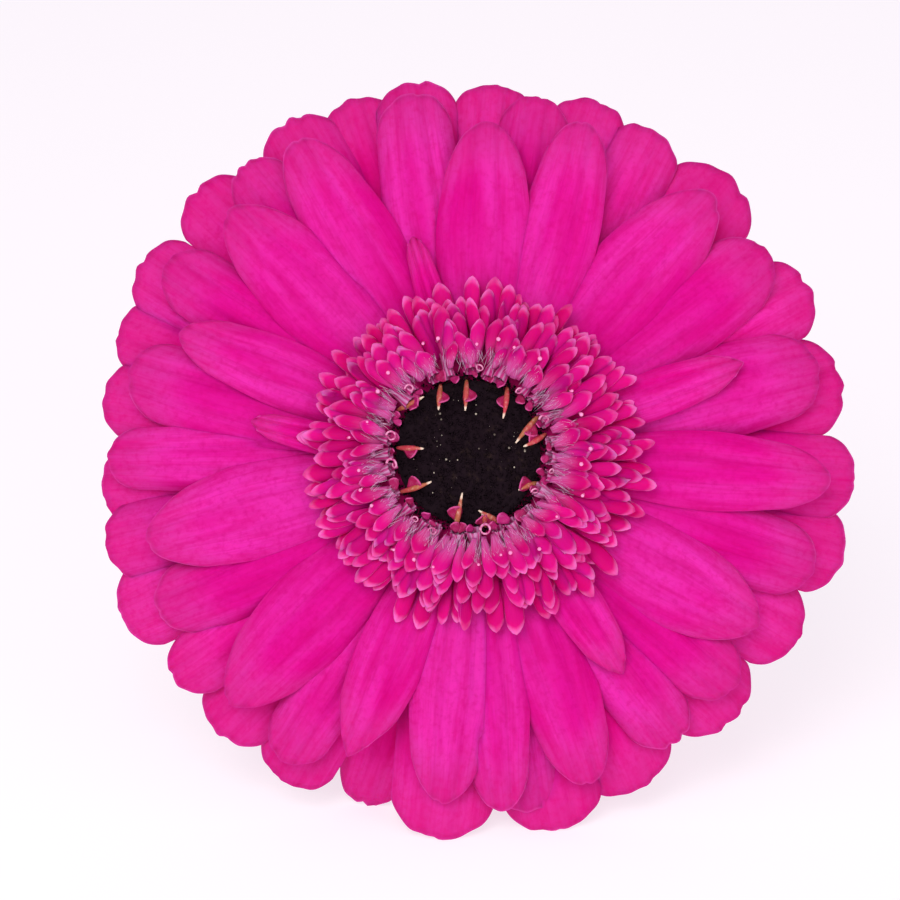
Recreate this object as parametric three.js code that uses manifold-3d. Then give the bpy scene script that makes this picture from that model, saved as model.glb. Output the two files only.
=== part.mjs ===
import * as THREE from "three";
import { mergeVertices } from "three/addons/utils/BufferGeometryUtils.js";
import Module from "manifold-3d";

// A cut gerbera with a short stem, lying on a surface. Millimetres, +Z up.
// The bloom is built in its own frame: its axis is z and its face looks along +z, with the
// ray florets' roots at z = 0. Angles round the bloom run clockwise from +y, in degrees.
// The flower then leans back on its stem, so that three tips and the stem's end reach z = 0.

const leanDeg = 21.8; // how far the face looks up from the horizontal
const bladeThickness = 0.75;

// The hub, in which the ray florets' roots are sunk.
const hubRadius = 13.5;
const hubTop = 4.1;
const hubBottom = -3.2;
const rootRadius = 9; // where a ray floret starts, inside the hub
const shoulderRadius = 20; // where it has come up to the height of its layer
const lowestLayer = -1.8; // height of level 0 at the shoulder
const levelStep = 0.62; // from one level of overlap to the next
const rootHeight = 0.4; // of every ray floret, where it starts
const rootFullness = 0.46; // a ray floret's width at its root, as a share of its full width
const gainedFullness = 0.57; // what it gains from there to its widest place
const widestShare = 0.58; // where along it that place is
const humpHeight = 1.1; // how far it humps past its shoulder
const archRate = 0.026; // how much its edges turn down, by the square of the width

// The dark centre sits a little off the axis of the bloom.
const discCentre = { x: -1.45, y: 1.0 };
const discRadius = 10.3;
const openInnerRadius = 10.7;
const openOuterRadius = 13.0;
const collarInnerRadius = 13.4;
const collarOuterRadius = 20;
const collarBottom = 5.0;

const stemNeckRadius = 3.4;
const stemFootRadius = 4.2;
const stemTop = -16.2;
const bractThickness = 1.2;
const seed = 20;

// Ray florets, each [angle of its root, angle of its tip, reach of its tip, width, level, roll].
// The level says which floret lies over which, and the roll in degrees lifts its clockwise edge.
const frontRays = [
  [0.7, 1.5, 48.6, 13.4, 9, 0],
  [21.5, 17.5, 51.0, 11.6, 8, 1],
  [41, 41.5, 51.2, 13.4, 7, 2],
  [91, 93.5, 51.0, 11.2, 8, 0],
  [120.5, 121, 47.1, 13.6, 8, 0],
  [162, 161, 49.7, 11.6, 6, -1],
  [175.5, 176, 51.0, 10.4, 7, -1],
  [187.5, 186, 50.0, 12.5, 8, -1],
  [204.5, 203.7, 46.8, 10.2, 9, 0],
  [227, 225.5, 50.5, 13.4, 8, 0],
  [256.7, 256, 49.4, 13.7, 8, 0],
  [294, 293, 46.8, 9.6, 8, 0],
  [314.5, 315, 50.9, 13.3, 8, -1],
  [332.5, 330, 53.1, 12.3, 7, -1],
];
const shortRays = [
  [68, 70, 40.7, 6.9, 8.3, 0],
  [147, 146, 37.3, 7.2, 8, 0],
  [277, 279.5, 33.2, 4.6, 8.3, 0],
  [343, 343.5, 33.4, 4.2, 8.3, 0],
];
const middleRays = [
  [9.5, 9.5, 53.4, 11.0, 3.4, 0],
  [56.5, 54.5, 51.8, 12.5, 5.6, 1],
  [75, 75, 51.2, 13.6, 5, 0],
  [108, 108, 51.3, 11.6, 5.4, 0],
  [135, 132, 50.0, 10.9, 5.6, 0],
  [146.5, 145, 50.3, 10.6, 5, 0],
  [171.5, 171.5, 51.8, 10.5, 3.4, 0],
  [198.5, 198.5, 53.7, 10.5, 3.2, 0],
  [213, 213, 52.2, 10.4, 5.4, 0],
  [234, 234, 54.7, 10.5, 3.4, 0],
  [243, 244.5, 51.6, 11.6, 5.4, 0],
  [270, 270, 53.7, 9.6, 5, 0],
  [281, 284, 52.2, 12.3, 5.6, 0],
  [302, 302, 53.4, 10.9, 5.2, 0],
  [321.5, 321.5, 54.8, 10.5, 3.4, 0],
  [345, 349.5, 53.9, 11.8, 5.2, 0],
];
const backRays = [
  [2.5, 2.5, 54.7, 12, 1.2, 0],
  [18.5, 18.5, 55.2, 11.5, 0, 0],
  [28, 28, 54.4, 11.5, 1.4, 0],
  [42, 42, 55.4, 15, 0.4, 0],
  [62.5, 62.5, 54.5, 12.5, 1.6, 0],
  [78, 78, 54.5, 14.5, 0.2, 0],
  [93, 93, 55.2, 12, 1.4, 0],
  [105, 105, 55.4, 13, 0.2, 0],
  [119.5, 119.5, 53.8, 13, 1.4, 0],
  [135.5, 135.5, 53.5, 14.5, 0.2, 0],
  [154, 154, 53.7, 15, 1.4, 0],
  [167.5, 167.5, 55.4, 14.5, 0.2, 0],
  [186, 186, 55.5, 15, 1.4, 0],
  [211, 211, 55.1, 12, 0.2, 0],
  [223.5, 223.5, 55.2, 12, 1.4, 0],
  [246, 246, 57.0, 12.5, 0.2, 0],
  [256.5, 256.5, 55.7, 11, 1.6, 0],
  [265.5, 265.5, 55.1, 12, 0.2, 0],
  [279.5, 279.5, 55.4, 11.5, 1.6, 0],
  [290, 290, 55.8, 11, 0.2, 0],
  [300, 300, 57.0, 12.5, 1.4, 0],
  [313.5, 313.5, 57.0, 12.5, 0.2, 0],
  [330.5, 330.5, 56.7, 12, 1.4, 0],
  [340.5, 340.5, 55.7, 11, 0.2, 0],
  [350, 350, 55.8, 12, 1.2, 0],
];

// How far the tips of each layer drop below their shoulders, the share of a floret's width that
// rounds its tip, how much it tapers, and its rows and lanes of faces.
const layers = [
  { rays: backRays, drop: 3.6, roundness: 0.4, taper: 0.04, rows: 3, lanes: 4 },
  { rays: middleRays, drop: 2.2, roundness: 0.5, taper: 0.12, rows: 3, lanes: 4 },
  { rays: frontRays, drop: 0.6, roundness: 0.66, taper: 0.28, rows: 4, lanes: 4 },
  { rays: shortRays, drop: 0.2, roundness: 0.66, taper: 0.28, rows: 3, lanes: 4 },
];
// The florets under the bloom that touch the surface: [angle of the tip, its own drop].
const restingTips = [
  [167.5, 2.2],
  [186, 0],
  [198.5, 11.4],
];

// A small pointed blade is a root, a ring or two, each [share of its length, of its width],
// and a tip.
const roundTip = [[0.3, 0.7], [0.74, 1]];
const longTip = [[0.45, 1]];

// Rows of trans florets: [how many, reach of the tip, length, width, height of the tip, rings].
const transRows = [
  [36, 25.6, 7.6, 3.7, 6.2, roundTip],
  [32, 23.0, 6.6, 3.5, 7.4, roundTip],
  [28, 20.2, 4.9, 3.4, 8.5, roundTip],
  [24, 17.9, 3.2, 3.3, 9.4, longTip],
  [20, 15.9, 1.7, 2.9, 9.5, longTip],
];
const transThickness = 1.3;
const transCrown = 0.7; // how far a trans floret arches up
const collarPlate = 1.6; // thickness of the plate that the collar grows from
const collarRoot = 0.75; // how deep in that plate the trans florets start

const radians = THREE.MathUtils.degToRad;
const clamp = THREE.MathUtils.clamp;
const smooth = THREE.MathUtils.smoothstep;

// A seeded random number from 0 to 1.
let drawn = seed;
function draw() {
  drawn = (drawn * 16807) % 2147483647;
  return drawn / 2147483647;
}
const jitter = (size) => (draw() - 0.5) * 2 * size;

// A point of the bloom: distance out along an angle, sideways clockwise from it, and height.
function bloomPoint(angleDeg, out, side, height) {
  const a = radians(angleDeg);
  return new THREE.Vector3(
    out * Math.sin(a) + side * Math.cos(a),
    out * Math.cos(a) - side * Math.sin(a),
    height,
  );
}

// ---- solids ----

const wasm = await Module();
wasm.setup();

function solidOf(geometry) {
  const bare = geometry.clone();
  bare.deleteAttribute("normal");
  bare.deleteAttribute("uv");
  const merged = mergeVertices(bare, 1e-4);
  const mesh = new wasm.Mesh({
    numProp: 3,
    vertProperties: merged.attributes.position.array,
    triVerts: new Uint32Array(merged.index.array),
  });
  return new wasm.Manifold(mesh);
}

// Solids fused in one body: a scrap that hangs loose is dropped, and a sealed hollow is filled.
function fused(geometries) {
  const joined = wasm.Manifold.union(geometries.map(solidOf)).simplify(0.02);
  const pieces = joined.decompose();
  const body = pieces.reduce((a, b) => (b.volume() > a.volume() ? b : a));
  const mesh = body.getMesh();
  const geometry = new THREE.BufferGeometry();
  const points = new Float32Array(mesh.vertProperties);
  geometry.setAttribute("position", new THREE.BufferAttribute(points, 3));
  geometry.setIndex(new THREE.BufferAttribute(new Uint32Array(mesh.triVerts), 1));
  return geometry;
}

// A closed skin over a grid of points, the same triangles above as below.
function blade(rows, lanes, top, bottom) {
  const points = [];
  for (const face of [top, bottom]) {
    for (let i = 0; i <= rows; i++) {
      for (let j = 0; j <= lanes; j++) points.push(face(i / rows, (2 * j) / lanes - 1));
    }
  }
  const under = (rows + 1) * (lanes + 1);
  const at = (i, j) => i * (lanes + 1) + j;
  const index = [];
  const quad = (a, b, c, d) => index.push(a, b, c, a, c, d);
  for (let i = 0; i < rows; i++) {
    for (let j = 0; j < lanes; j++) {
      const [a, b, c, d] = [at(i, j), at(i + 1, j), at(i + 1, j + 1), at(i, j + 1)];
      index.push(a, c, b, a, d, c);
      index.push(under + a, under + b, under + c, under + a, under + c, under + d);
    }
  }
  for (let i = 0; i < rows; i++) {
    quad(at(i, 0), at(i + 1, 0), under + at(i + 1, 0), under + at(i, 0));
    quad(at(i + 1, lanes), at(i, lanes), under + at(i, lanes), under + at(i + 1, lanes));
  }
  for (let j = 0; j < lanes; j++) {
    quad(at(0, j + 1), at(0, j), under + at(0, j), under + at(0, j + 1));
    quad(at(rows, j), at(rows, j + 1), under + at(rows, j + 1), under + at(rows, j));
  }
  const geometry = new THREE.BufferGeometry().setFromPoints(points);
  geometry.setIndex(index);
  return geometry;
}

// ---- ray florets ----

// One strap-shaped floret: narrow at its root, widest past its middle, with a round tip.
function rayFloret([rootAngle, tipAngle, reach, width, level, roll], drop, layer) {
  const tipLength = width * layer.roundness;
  const layerHeight = lowestLayer + levelStep * level;
  const surface = (under) => (t, s) => {
    const end = reach - tipLength * (1 - Math.sqrt(1 - 0.97 * s * s));
    const out = rootRadius + (end - rootRadius) * t ** 0.85;
    const along = (out - rootRadius) / (reach - rootRadius);
    const widening = gainedFullness * smooth(along, 0, widestShare);
    const narrowing = layer.taper * smooth(along, widestShare, 1);
    const fullness = rootFullness + widening - narrowing;
    const side = s * (width / 2) * fullness;
    const rise = smooth(out, rootRadius, shoulderRadius);
    const past = Math.max(0, (out - shoulderRadius) / (reach - shoulderRadius));
    const hump = humpHeight * Math.sin(Math.PI * clamp(past * 0.8, 0, 1));
    const arch = -archRate * side * side - side * Math.tan(radians(roll));
    const raised = rootHeight + (layerHeight - rootHeight) * rise;
    const height = raised + hump - drop * past * past + arch * rise;
    const angle = rootAngle + (tipAngle - rootAngle) * along;
    return bloomPoint(angle, out, side, height - (under ? bladeThickness : 0));
  };
  return blade(layer.rows, layer.lanes, surface(false), surface(true));
}

function rayFlorets() {
  const profile = [
    new THREE.Vector2(0, hubBottom),
    new THREE.Vector2(hubRadius - 1.5, hubBottom),
    new THREE.Vector2(hubRadius, hubBottom + 1.5),
    new THREE.Vector2(hubRadius, hubTop - 1.2),
    new THREE.Vector2(hubRadius - 1.2, hubTop),
    new THREE.Vector2(0, hubTop),
  ];
  const hub = new THREE.LatheGeometry(profile, 36).rotateX(Math.PI / 2);
  const florets = [hub];
  for (const layer of layers) {
    for (const ray of layer.rays) {
      const resting = restingTips.find(([angle]) => angle === ray[1] && layer.rays !== frontRays);
      florets.push(rayFloret(ray, resting ? resting[1] : layer.drop, layer));
    }
  }
  return fused(florets);
}

// ---- the collar of trans florets and the centre ----

// A ring plate round the axis, with its hole round the off-centre disc.
function ringPlate(outer, outerCentre, inner, bottom, top, sides) {
  const shape = new THREE.Shape().absarc(outerCentre.x, outerCentre.y, outer, 0, Math.PI * 2);
  const hole = new THREE.Path().absarc(discCentre.x, discCentre.y, inner, 0, Math.PI * 2, true);
  shape.holes.push(hole);
  const plate = new THREE.ExtrudeGeometry(shape, {
    depth: top - bottom,
    bevelEnabled: false,
    curveSegments: sides,
  });
  return plate.translate(0, 0, bottom);
}

// A small pointed blade of four sides, whose middle is arched up by its crown.
function smallBlade(root, tip, width, thickness, crown, rings) {
  const along = tip.clone().sub(root);
  const side = new THREE.Vector3(along.y, -along.x, 0).normalize();
  const up = side.clone().cross(along).normalize();
  const points = [root.clone()];
  for (const [share, size] of rings) {
    const middle = root.clone().addScaledVector(along, share);
    middle.addScaledVector(up, crown * share * (1 - share) * 4);
    for (const [x, y] of [[1, 0], [0, 1], [-1, 0], [0, -1]]) {
      const point = middle.clone().addScaledVector(side, (x * size * width) / 2);
      points.push(point.addScaledVector(up, (y * size * thickness) / 2));
    }
  }
  points.push(tip.clone());
  const last = 4 * rings.length - 3;
  const index = [];
  for (let k = 0; k < 4; k++) {
    const next = (k + 1) % 4;
    index.push(0, 1 + k, 1 + next);
    for (let ring = 1; ring < last; ring += 4) {
      const [a, b, c, d] = [ring + k, ring + next, ring + 4 + next, ring + 4 + k];
      index.push(a, c, b, a, d, c);
    }
    index.push(last + k, last + 4, last + next);
  }
  const geometry = new THREE.BufferGeometry().setFromPoints(points);
  geometry.setIndex(index);
  return geometry;
}

function transFlorets() {
  const axis = { x: 0, y: 0 };
  const florets = [
    ringPlate(collarOuterRadius, axis, collarInnerRadius, collarBottom, collarBottom + collarPlate, 24),
  ];
  transRows.forEach(([count, reach, length, width, tipHeight, rings], row) => {
    for (let k = 0; k < count; k++) {
      const angle = ((k + 0.5 * (row % 2)) * 360) / count + jitter(1.5);
      const out = reach + jitter(0.7);
      const shift = bloomPoint(angle, 1, 0, 0);
      const offset = (discCentre.x * shift.x + discCentre.y * shift.y) * Math.min(1, row / 3);
      const root = bloomPoint(angle, out + offset - length, 0, collarBottom + collarRoot);
      const tip = bloomPoint(angle + jitter(3), out + offset, 0, tipHeight + jitter(0.3));
      florets.push(smallBlade(root, tip, width, transThickness, transCrown, rings));
    }
  });
  return fused(florets);
}

// Rings of opened florets: [how many, how far the tip leans inward, height of the tip].
const openRows = [
  [20, -0.3, 4.4],
  [20, 1.2, 4.9],
  [12, 4.2, 4.7],
];
const openPlate = 2.8; // thickness of the ring that the opened florets grow from
const openRoot = 2.2; // how high on it they start
const openSize = { width: 2.2, thickness: 1.6, crown: 0.3 };

function openFlorets() {
  const florets = [
    ringPlate(openOuterRadius, discCentre, openInnerRadius, collarBottom, collarBottom + openPlate, 18),
  ];
  const rootOut = (openInnerRadius + openOuterRadius) / 2;
  openRows.forEach(([count, inward, tipHeight], row) => {
    for (let k = 0; k < count; k++) {
      const angle = ((k + 0.5 * row) * 360) / count + jitter(3);
      const root = bloomPoint(angle, rootOut - 0.2 * inward, 0, collarBottom + openRoot);
      const height = collarBottom + tipHeight + jitter(0.4);
      const tip = bloomPoint(angle + jitter(5), rootOut - inward, 0, height);
      const { width, thickness, crown } = openSize;
      const floret = smallBlade(root, tip, width, thickness, crown, longTip);
      florets.push(floret.translate(discCentre.x, discCentre.y, 0));
    }
  });
  return fused(florets);
}

const discRim = 1; // height of the dish's upright rim
const discMiddle = { thickness: 0.8, peak: 1.3 };
const discRise = 0.8; // from the middle of the dish to its rim
const discBump = 0.6;

// The closed florets: a shallow dish whose surface is raised in small points.
function discFlorets() {
  const rings = 8;
  const sectors = 40;
  const points = [collarBottom, collarBottom + discMiddle.peak].map((z) => new THREE.Vector3(0, 0, z));
  for (const [out, height] of [[discRadius, collarBottom], [discRadius, collarBottom + discRim]]) {
    for (let j = 0; j < sectors; j++) points.push(bloomPoint((j * 360) / sectors, out, 0, height));
  }
  for (let i = 1; i < rings; i++) {
    const out = (discRadius * (rings - i)) / rings;
    for (let j = 0; j < sectors; j++) {
      const bump = (i + j) % 2 ? discBump : 0;
      const dish = discMiddle.thickness + discRise * (out / discRadius) ** 2;
      points.push(bloomPoint((j * 360) / sectors, out, 0, collarBottom + dish + bump));
    }
  }
  const at = (ring, j) => 2 + ring * sectors + (j % sectors);
  const index = [];
  for (let j = 0; j < sectors; j++) {
    index.push(0, at(0, j), at(0, j + 1));
    for (let ring = 0; ring < rings; ring++) {
      const [a, b, c, d] = [at(ring, j), at(ring + 1, j), at(ring + 1, j + 1), at(ring, j + 1)];
      // each square is folded between its two low corners, so that every bump stands alone
      if ((ring + j) % 2) index.push(a, b, c, a, c, d);
      else index.push(a, b, d, b, c, d);
    }
    index.push(at(rings, j), 1, at(rings, j + 1));
  }
  const geometry = new THREE.BufferGeometry().setFromPoints(points);
  geometry.setIndex(index);
  return geometry.translate(discCentre.x, discCentre.y, 0);
}

// ---- involucre and stem ----

// Rows of bracts on the cup: [how many, height of the foot, height of the tip, width].
const bractRows = [
  [11, -15.2, -9.0, 4.2],
  [13, -13.4, -5.6, 4.6],
  [16, -10.4, -4.3, 4.6],
];

const cupNeck = 4.4; // radius of the cup where it meets the stem
const cupSwell = 9.4; // what it gains from there to its rim
const bractTilt = { sunk: 0.5, raised: 1.1, crown: -0.4 };

// Radius of the cup at a height of the bloom.
function cupRadius(height) {
  const up = clamp((height - stemTop) / (hubBottom - stemTop), 0, 1);
  return cupNeck + cupSwell * Math.sin((up * Math.PI) / 2) ** 0.8;
}

function involucre() {
  const cupTop = hubBottom - 0.5;
  const cupBottom = stemTop + 0.3;
  const profile = [new THREE.Vector2(0, cupBottom)];
  const steps = 7;
  for (let i = 0; i <= steps; i++) {
    const height = cupBottom + ((cupTop - cupBottom) * i) / steps;
    profile.push(new THREE.Vector2(cupRadius(height) - 0.4, height));
  }
  profile.push(new THREE.Vector2(0, cupTop));
  const cup = new THREE.LatheGeometry(profile, 30).rotateX(Math.PI / 2);
  const bracts = [cup];
  bractRows.forEach(([count, foot, tip, width], row) => {
    for (let k = 0; k < count; k++) {
      const angle = ((k + 0.5 * row) * 360) / count + jitter(2);
      const root = bloomPoint(angle, cupRadius(foot) - bractTilt.sunk, 0, foot);
      const end = bloomPoint(angle, cupRadius(tip) + bractTilt.raised, 0, tip + jitter(0.2));
      bracts.push(smallBlade(root, end, width, bractThickness, bractTilt.crown, longTip));
    }
  });
  return fused(bracts);
}

// The stem runs straight back from the cup, bows a little, and ends in a slanted cut where it
// meets the surface that the lowest florets rest on.
function stem(restHeight) {
  const lean = radians(leanDeg);
  const sides = 14;
  const rings = 12;
  const bow = 2.2;
  const slant = 2.6;
  const footHeight = -(restHeight - stemFootRadius * Math.cos(lean)) / Math.sin(lean);
  const points = [];
  for (let i = 0; i <= rings; i++) {
    const share = i / rings;
    const radius = stemNeckRadius + (stemFootRadius - stemNeckRadius) * share ** 0.8;
    const shift = bow * Math.sin(Math.PI * share);
    for (let j = 0; j < sides; j++) {
      const a = (j * 2 * Math.PI) / sides;
      const rib = radius * (j % 2 ? 0.96 : 1);
      const cut = i === rings ? slant * (1 - Math.cos(a - Math.PI)) : 0;
      const height = stemTop + (footHeight - stemTop) * share + cut;
      points.push(new THREE.Vector3(rib * Math.sin(a) + shift, rib * Math.cos(a), height));
    }
  }
  const head = points.length;
  points.push(new THREE.Vector3(0, 0, stemTop), new THREE.Vector3(0, 0, footHeight + slant));
  const index = [];
  const at = (i, j) => i * sides + (j % sides);
  for (let j = 0; j < sides; j++) {
    for (let i = 0; i < rings; i++) {
      index.push(at(i, j), at(i, j + 1), at(i + 1, j + 1), at(i, j), at(i + 1, j + 1), at(i + 1, j));
    }
    index.push(head, at(0, j + 1), at(0, j), head + 1, at(rings, j), at(rings, j + 1));
  }
  const geometry = new THREE.BufferGeometry().setFromPoints(points);
  geometry.setIndex(index);
  return geometry;
}

// ---- the flower ----

function piece(name, geometry, color, roughness) {
  const flat = geometry.index ? geometry.toNonIndexed() : geometry;
  flat.computeVertexNormals();
  const material = new THREE.MeshStandardMaterial({ color, roughness, metalness: 0 });
  const mesh = new THREE.Mesh(flat, material);
  mesh.name = name;
  return mesh;
}

const bloom = new THREE.Group();
bloom.rotation.x = radians(90 - leanDeg);

const rays = rayFlorets();
const lean = radians(leanDeg);
let lowest = 0;
const corners = rays.attributes.position;
for (let i = 0; i < corners.count; i++) {
  const height = corners.getY(i) * Math.cos(lean) + corners.getZ(i) * Math.sin(lean);
  lowest = Math.min(lowest, height);
}

bloom.add(
  piece("ray_florets", rays, 0xe01e96, 0.5),
  piece("trans_florets", transFlorets(), 0xf05aa8, 0.5),
  piece("open_florets", openFlorets(), 0xb8477c, 0.6),
  piece("disc_florets", discFlorets(), 0x1e141a, 0.8),
  piece("involucre", involucre(), 0x6d8f45, 0.7),
  piece("stem", stem(-lowest), 0x86a650, 0.6),
);

// The flower stands on z = 0 with the middle of its box over the origin.
const flower = new THREE.Group();
flower.add(bloom);
flower.updateMatrixWorld(true);
const box = new THREE.Box3().setFromObject(flower, true);
bloom.position.set(-(box.min.x + box.max.x) / 2, -(box.min.y + box.max.y) / 2, -box.min.z);

export default flower;
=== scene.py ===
import math
import random

import bpy
from mathutils import Matrix, Vector


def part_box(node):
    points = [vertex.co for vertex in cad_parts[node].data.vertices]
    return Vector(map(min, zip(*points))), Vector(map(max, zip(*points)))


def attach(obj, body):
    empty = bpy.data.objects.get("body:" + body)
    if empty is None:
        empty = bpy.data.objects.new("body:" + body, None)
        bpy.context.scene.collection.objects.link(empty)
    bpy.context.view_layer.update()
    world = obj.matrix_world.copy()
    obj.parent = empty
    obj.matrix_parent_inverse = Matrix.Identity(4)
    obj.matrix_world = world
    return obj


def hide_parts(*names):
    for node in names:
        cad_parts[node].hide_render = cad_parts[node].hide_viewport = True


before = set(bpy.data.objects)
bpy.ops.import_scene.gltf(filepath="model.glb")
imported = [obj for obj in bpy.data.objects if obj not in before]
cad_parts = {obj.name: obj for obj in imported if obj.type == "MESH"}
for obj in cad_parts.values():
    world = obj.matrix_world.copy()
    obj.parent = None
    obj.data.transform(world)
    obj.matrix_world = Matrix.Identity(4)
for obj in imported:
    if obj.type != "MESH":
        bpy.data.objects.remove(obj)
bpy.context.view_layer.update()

bpy.ops.object.select_all(action="DESELECT")
mm = 0.001

# The bloom is shaped in its own frame, in millimetres: its axis is z, its face looks along +z,
# and angles run clockwise from +y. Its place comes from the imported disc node.
bloom = {
    "leanDeg": 21.8,       # how far the face looks up
    "discX": -1.45,        # the dark centre is a little off the axis
    "discY": 1.0,
    "discRadius": 10.3,
    "discFoot": 5.0,
}


def findBloom():
    low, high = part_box("disc_florets")
    lean = math.radians(bloom["leanDeg"])
    c = math.cos(lean)
    s = math.sin(lean)
    edge = bloom["discRadius"]
    foot = bloom["discFoot"]
    x = (low[0] + high[0]) / 2 - mm * bloom["discX"]
    y = high[1] - mm * ((bloom["discY"] + edge) * s - foot * c)
    z = low[2] - mm * ((bloom["discY"] - edge) * c + foot * s)
    turn = Matrix.Rotation(math.pi / 2 - lean, 4, "X")
    return Matrix.Translation((x, y, z)) @ turn @ Matrix.Scale(mm, 4)


bloomPlace = findBloom()


def bloomPoint(angleDeg, out, side, height):
    a = math.radians(angleDeg)
    return Vector((
        out * math.sin(a) + side * math.cos(a),
        out * math.cos(a) - side * math.sin(a),
        height,
    ))


# A point round the middle of the dark disc instead of the axis.
def discPoint(angleDeg, out, height):
    point = bloomPoint(angleDeg, out, 0, height)
    return point + Vector((bloom["discX"], bloom["discY"], 0))


def smoothStep(value, low, high):
    t = min(1.0, max(0.0, (value - low) / (high - low)))
    return t * t * (3 - 2 * t)


# Small modelling helpers.


def pick(*objs):
    bpy.ops.object.select_all(action="DESELECT")
    for obj in objs:
        obj.select_set(True)
    bpy.context.view_layer.objects.active = objs[0]


def copyOf(blank):
    twin = blank.copy()
    twin.data = blank.data.copy()
    bpy.context.collection.objects.link(twin)
    return twin


def throwAway(*objs):
    for obj in objs:
        bpy.data.objects.remove(obj, do_unlink=True)


def joinAll(parts, name):
    pick(*parts)
    if len(parts) > 1:
        bpy.ops.object.join()
    obj = bpy.context.active_object
    obj.name = name
    obj.data.name = name
    return obj


def applyModifier(obj, kind, **settings):
    pick(obj)
    modifier = obj.modifiers.new(kind.title(), kind)
    for key, value in settings.items():
        setattr(modifier, key, value)
    bpy.ops.object.modifier_apply(modifier=modifier.name)


def setAttribute(obj, name, values):
    layer = obj.data.attributes.get(name)
    if layer is None:
        layer = obj.data.attributes.new(name, "FLOAT", "POINT")
    if isinstance(values, (int, float)):
        values = [values] * len(obj.data.vertices)
    layer.data.foreach_set("value", values)


# Puts a piece shaped in the bloom's frame in its place, with its finish.
def finishPiece(obj, material, slotName, *nodes):
    pick(obj)
    obj.matrix_world = bloomPlace
    bpy.ops.object.transform_apply(location=True, rotation=True, scale=True)
    bpy.ops.object.shade_smooth()
    obj.data.materials.clear()
    obj.data.materials.append(material)
    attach(obj, "root")
    if nodes:
        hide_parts(*nodes)
    return obj


# In edit mode: closes the open ends and turns every face outwards.
def closeEnds():
    bpy.ops.mesh.select_all(action="DESELECT")
    bpy.ops.mesh.select_mode(type="VERT")
    bpy.ops.mesh.select_non_manifold()
    bpy.ops.mesh.edge_face_add()
    bpy.ops.mesh.select_all(action="SELECT")
    bpy.ops.mesh.normals_make_consistent(inside=False)


def editAll(obj):
    pick(obj)
    bpy.ops.object.mode_set(mode="EDIT")
    bpy.ops.mesh.select_all(action="SELECT")


# A closed solid drawn up from a circle through rings of (radius, height). The insets then
# draw rings on its last face.
def ringSolid(rings, sides, insets=()):
    radius, height = rings[0]
    bpy.ops.mesh.primitive_circle_add(
        vertices=sides, radius=radius, fill_type="NGON", location=(0, 0, height)
    )
    obj = bpy.context.active_object
    bpy.ops.object.transform_apply(location=True)
    editAll(obj)
    for nextRadius, nextHeight in rings[1:]:
        grow = nextRadius / radius
        rise = (0, 0, nextHeight - height)
        bpy.ops.mesh.extrude_region_move(TRANSFORM_OT_translate={"value": rise})
        bpy.ops.transform.resize(value=(grow, grow, 1), center_override=(0, 0, nextHeight))
        radius, height = nextRadius, nextHeight
    for inset in insets:
        bpy.ops.mesh.inset(thickness=inset)
    closeEnds()
    bpy.ops.object.mode_set(mode="OBJECT")
    return obj


# A flat blade to bend, with even lanes across and rows along.
def flatBlade(lanes, rows):
    bpy.ops.mesh.primitive_grid_add(x_subdivisions=lanes, y_subdivisions=rows, size=2)
    return bpy.context.active_object


# A place on a flat blade: s from -1 to 1 across, closer at the edges, and t from 0 to 1 along.
def placeOn(vertex):
    return math.sin(vertex.co.x * math.pi / 2), (vertex.co.y + 1) / 2


# How far a rounded end falls back at s across: 0 on its midline, nearly 1 at its edges.
def roundEnd(s):
    return 1 - math.sqrt(1 - 0.97 * s * s)


# A soft groove: 1 at its place across, and 0 away from it.
def groove(s, place, width):
    return math.exp(-(((s - place) / width) ** 2))


# Many thin pointed hairs in one mesh: each is (foot, tip, radius, tint).
def makeHairs(name, hairs, sides=3):
    points = []
    faces = []
    tints = []
    for foot, tip, radius, tint in hairs:
        along = (tip - foot).normalized()
        across = along.orthogonal().normalized()
        other = along.cross(across)
        start = len(points)
        for k in range(sides):
            a = 2 * math.pi * k / sides
            points.append(foot + radius * (math.cos(a) * across + math.sin(a) * other))
        points.append(tip)
        for k in range(sides):
            faces.append((start + k, start + (k + 1) % sides, start + sides))
        faces.append(tuple(start + k for k in reversed(range(sides))))
        tints += [tint] * (sides + 1)
    mesh = bpy.data.meshes.new(name)
    mesh.from_pydata(points, [], faces)
    obj = bpy.data.objects.new(name, mesh)
    bpy.context.collection.objects.link(obj)
    setAttribute(obj, "tint", tints)
    return obj


# Small material helpers. Most find the node tree from the socket that they are given.


def newMaterial(name):
    material = bpy.data.materials.new(name)
    material.use_nodes = True
    return material, material.node_tree


def addNode(tree, kind, **settings):
    node = tree.nodes.new(kind)
    for key, value in settings.items():
        setattr(node, key, value)
    return node


def feed(socket, value):
    if isinstance(value, bpy.types.NodeSocket):
        socket.id_data.links.new(value, socket)
    else:
        socket.default_value = value


def doMath(operation, a, b=0.0, clamp=False):
    node = addNode(a.id_data, "ShaderNodeMath", operation=operation, use_clamp=clamp)
    feed(node.inputs[0], a)
    feed(node.inputs[1], b)
    return node.outputs[0]


# Goes smoothly from least to most as the value goes from start to end.
def fade(value, start, end, least=0.0, most=1.0):
    node = addNode(value.id_data, "ShaderNodeMapRange", interpolation_type="SMOOTHSTEP")
    for index, number in enumerate((value, start, end, least, most)):
        feed(node.inputs[index], number)
    return node.outputs[0]


def blendColours(share, first, second):
    node = addNode(share.id_data, "ShaderNodeMix", data_type="RGBA")
    feed(node.inputs[0], share)
    for index, colour in ((6, first), (7, second)):
        feed(node.inputs[index], (*colour, 1) if isinstance(colour, tuple) else colour)
    return node.outputs[2]


def readUv(tree):
    return addNode(tree, "ShaderNodeUVMap", uv_map="UVMap").outputs[0]


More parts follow.
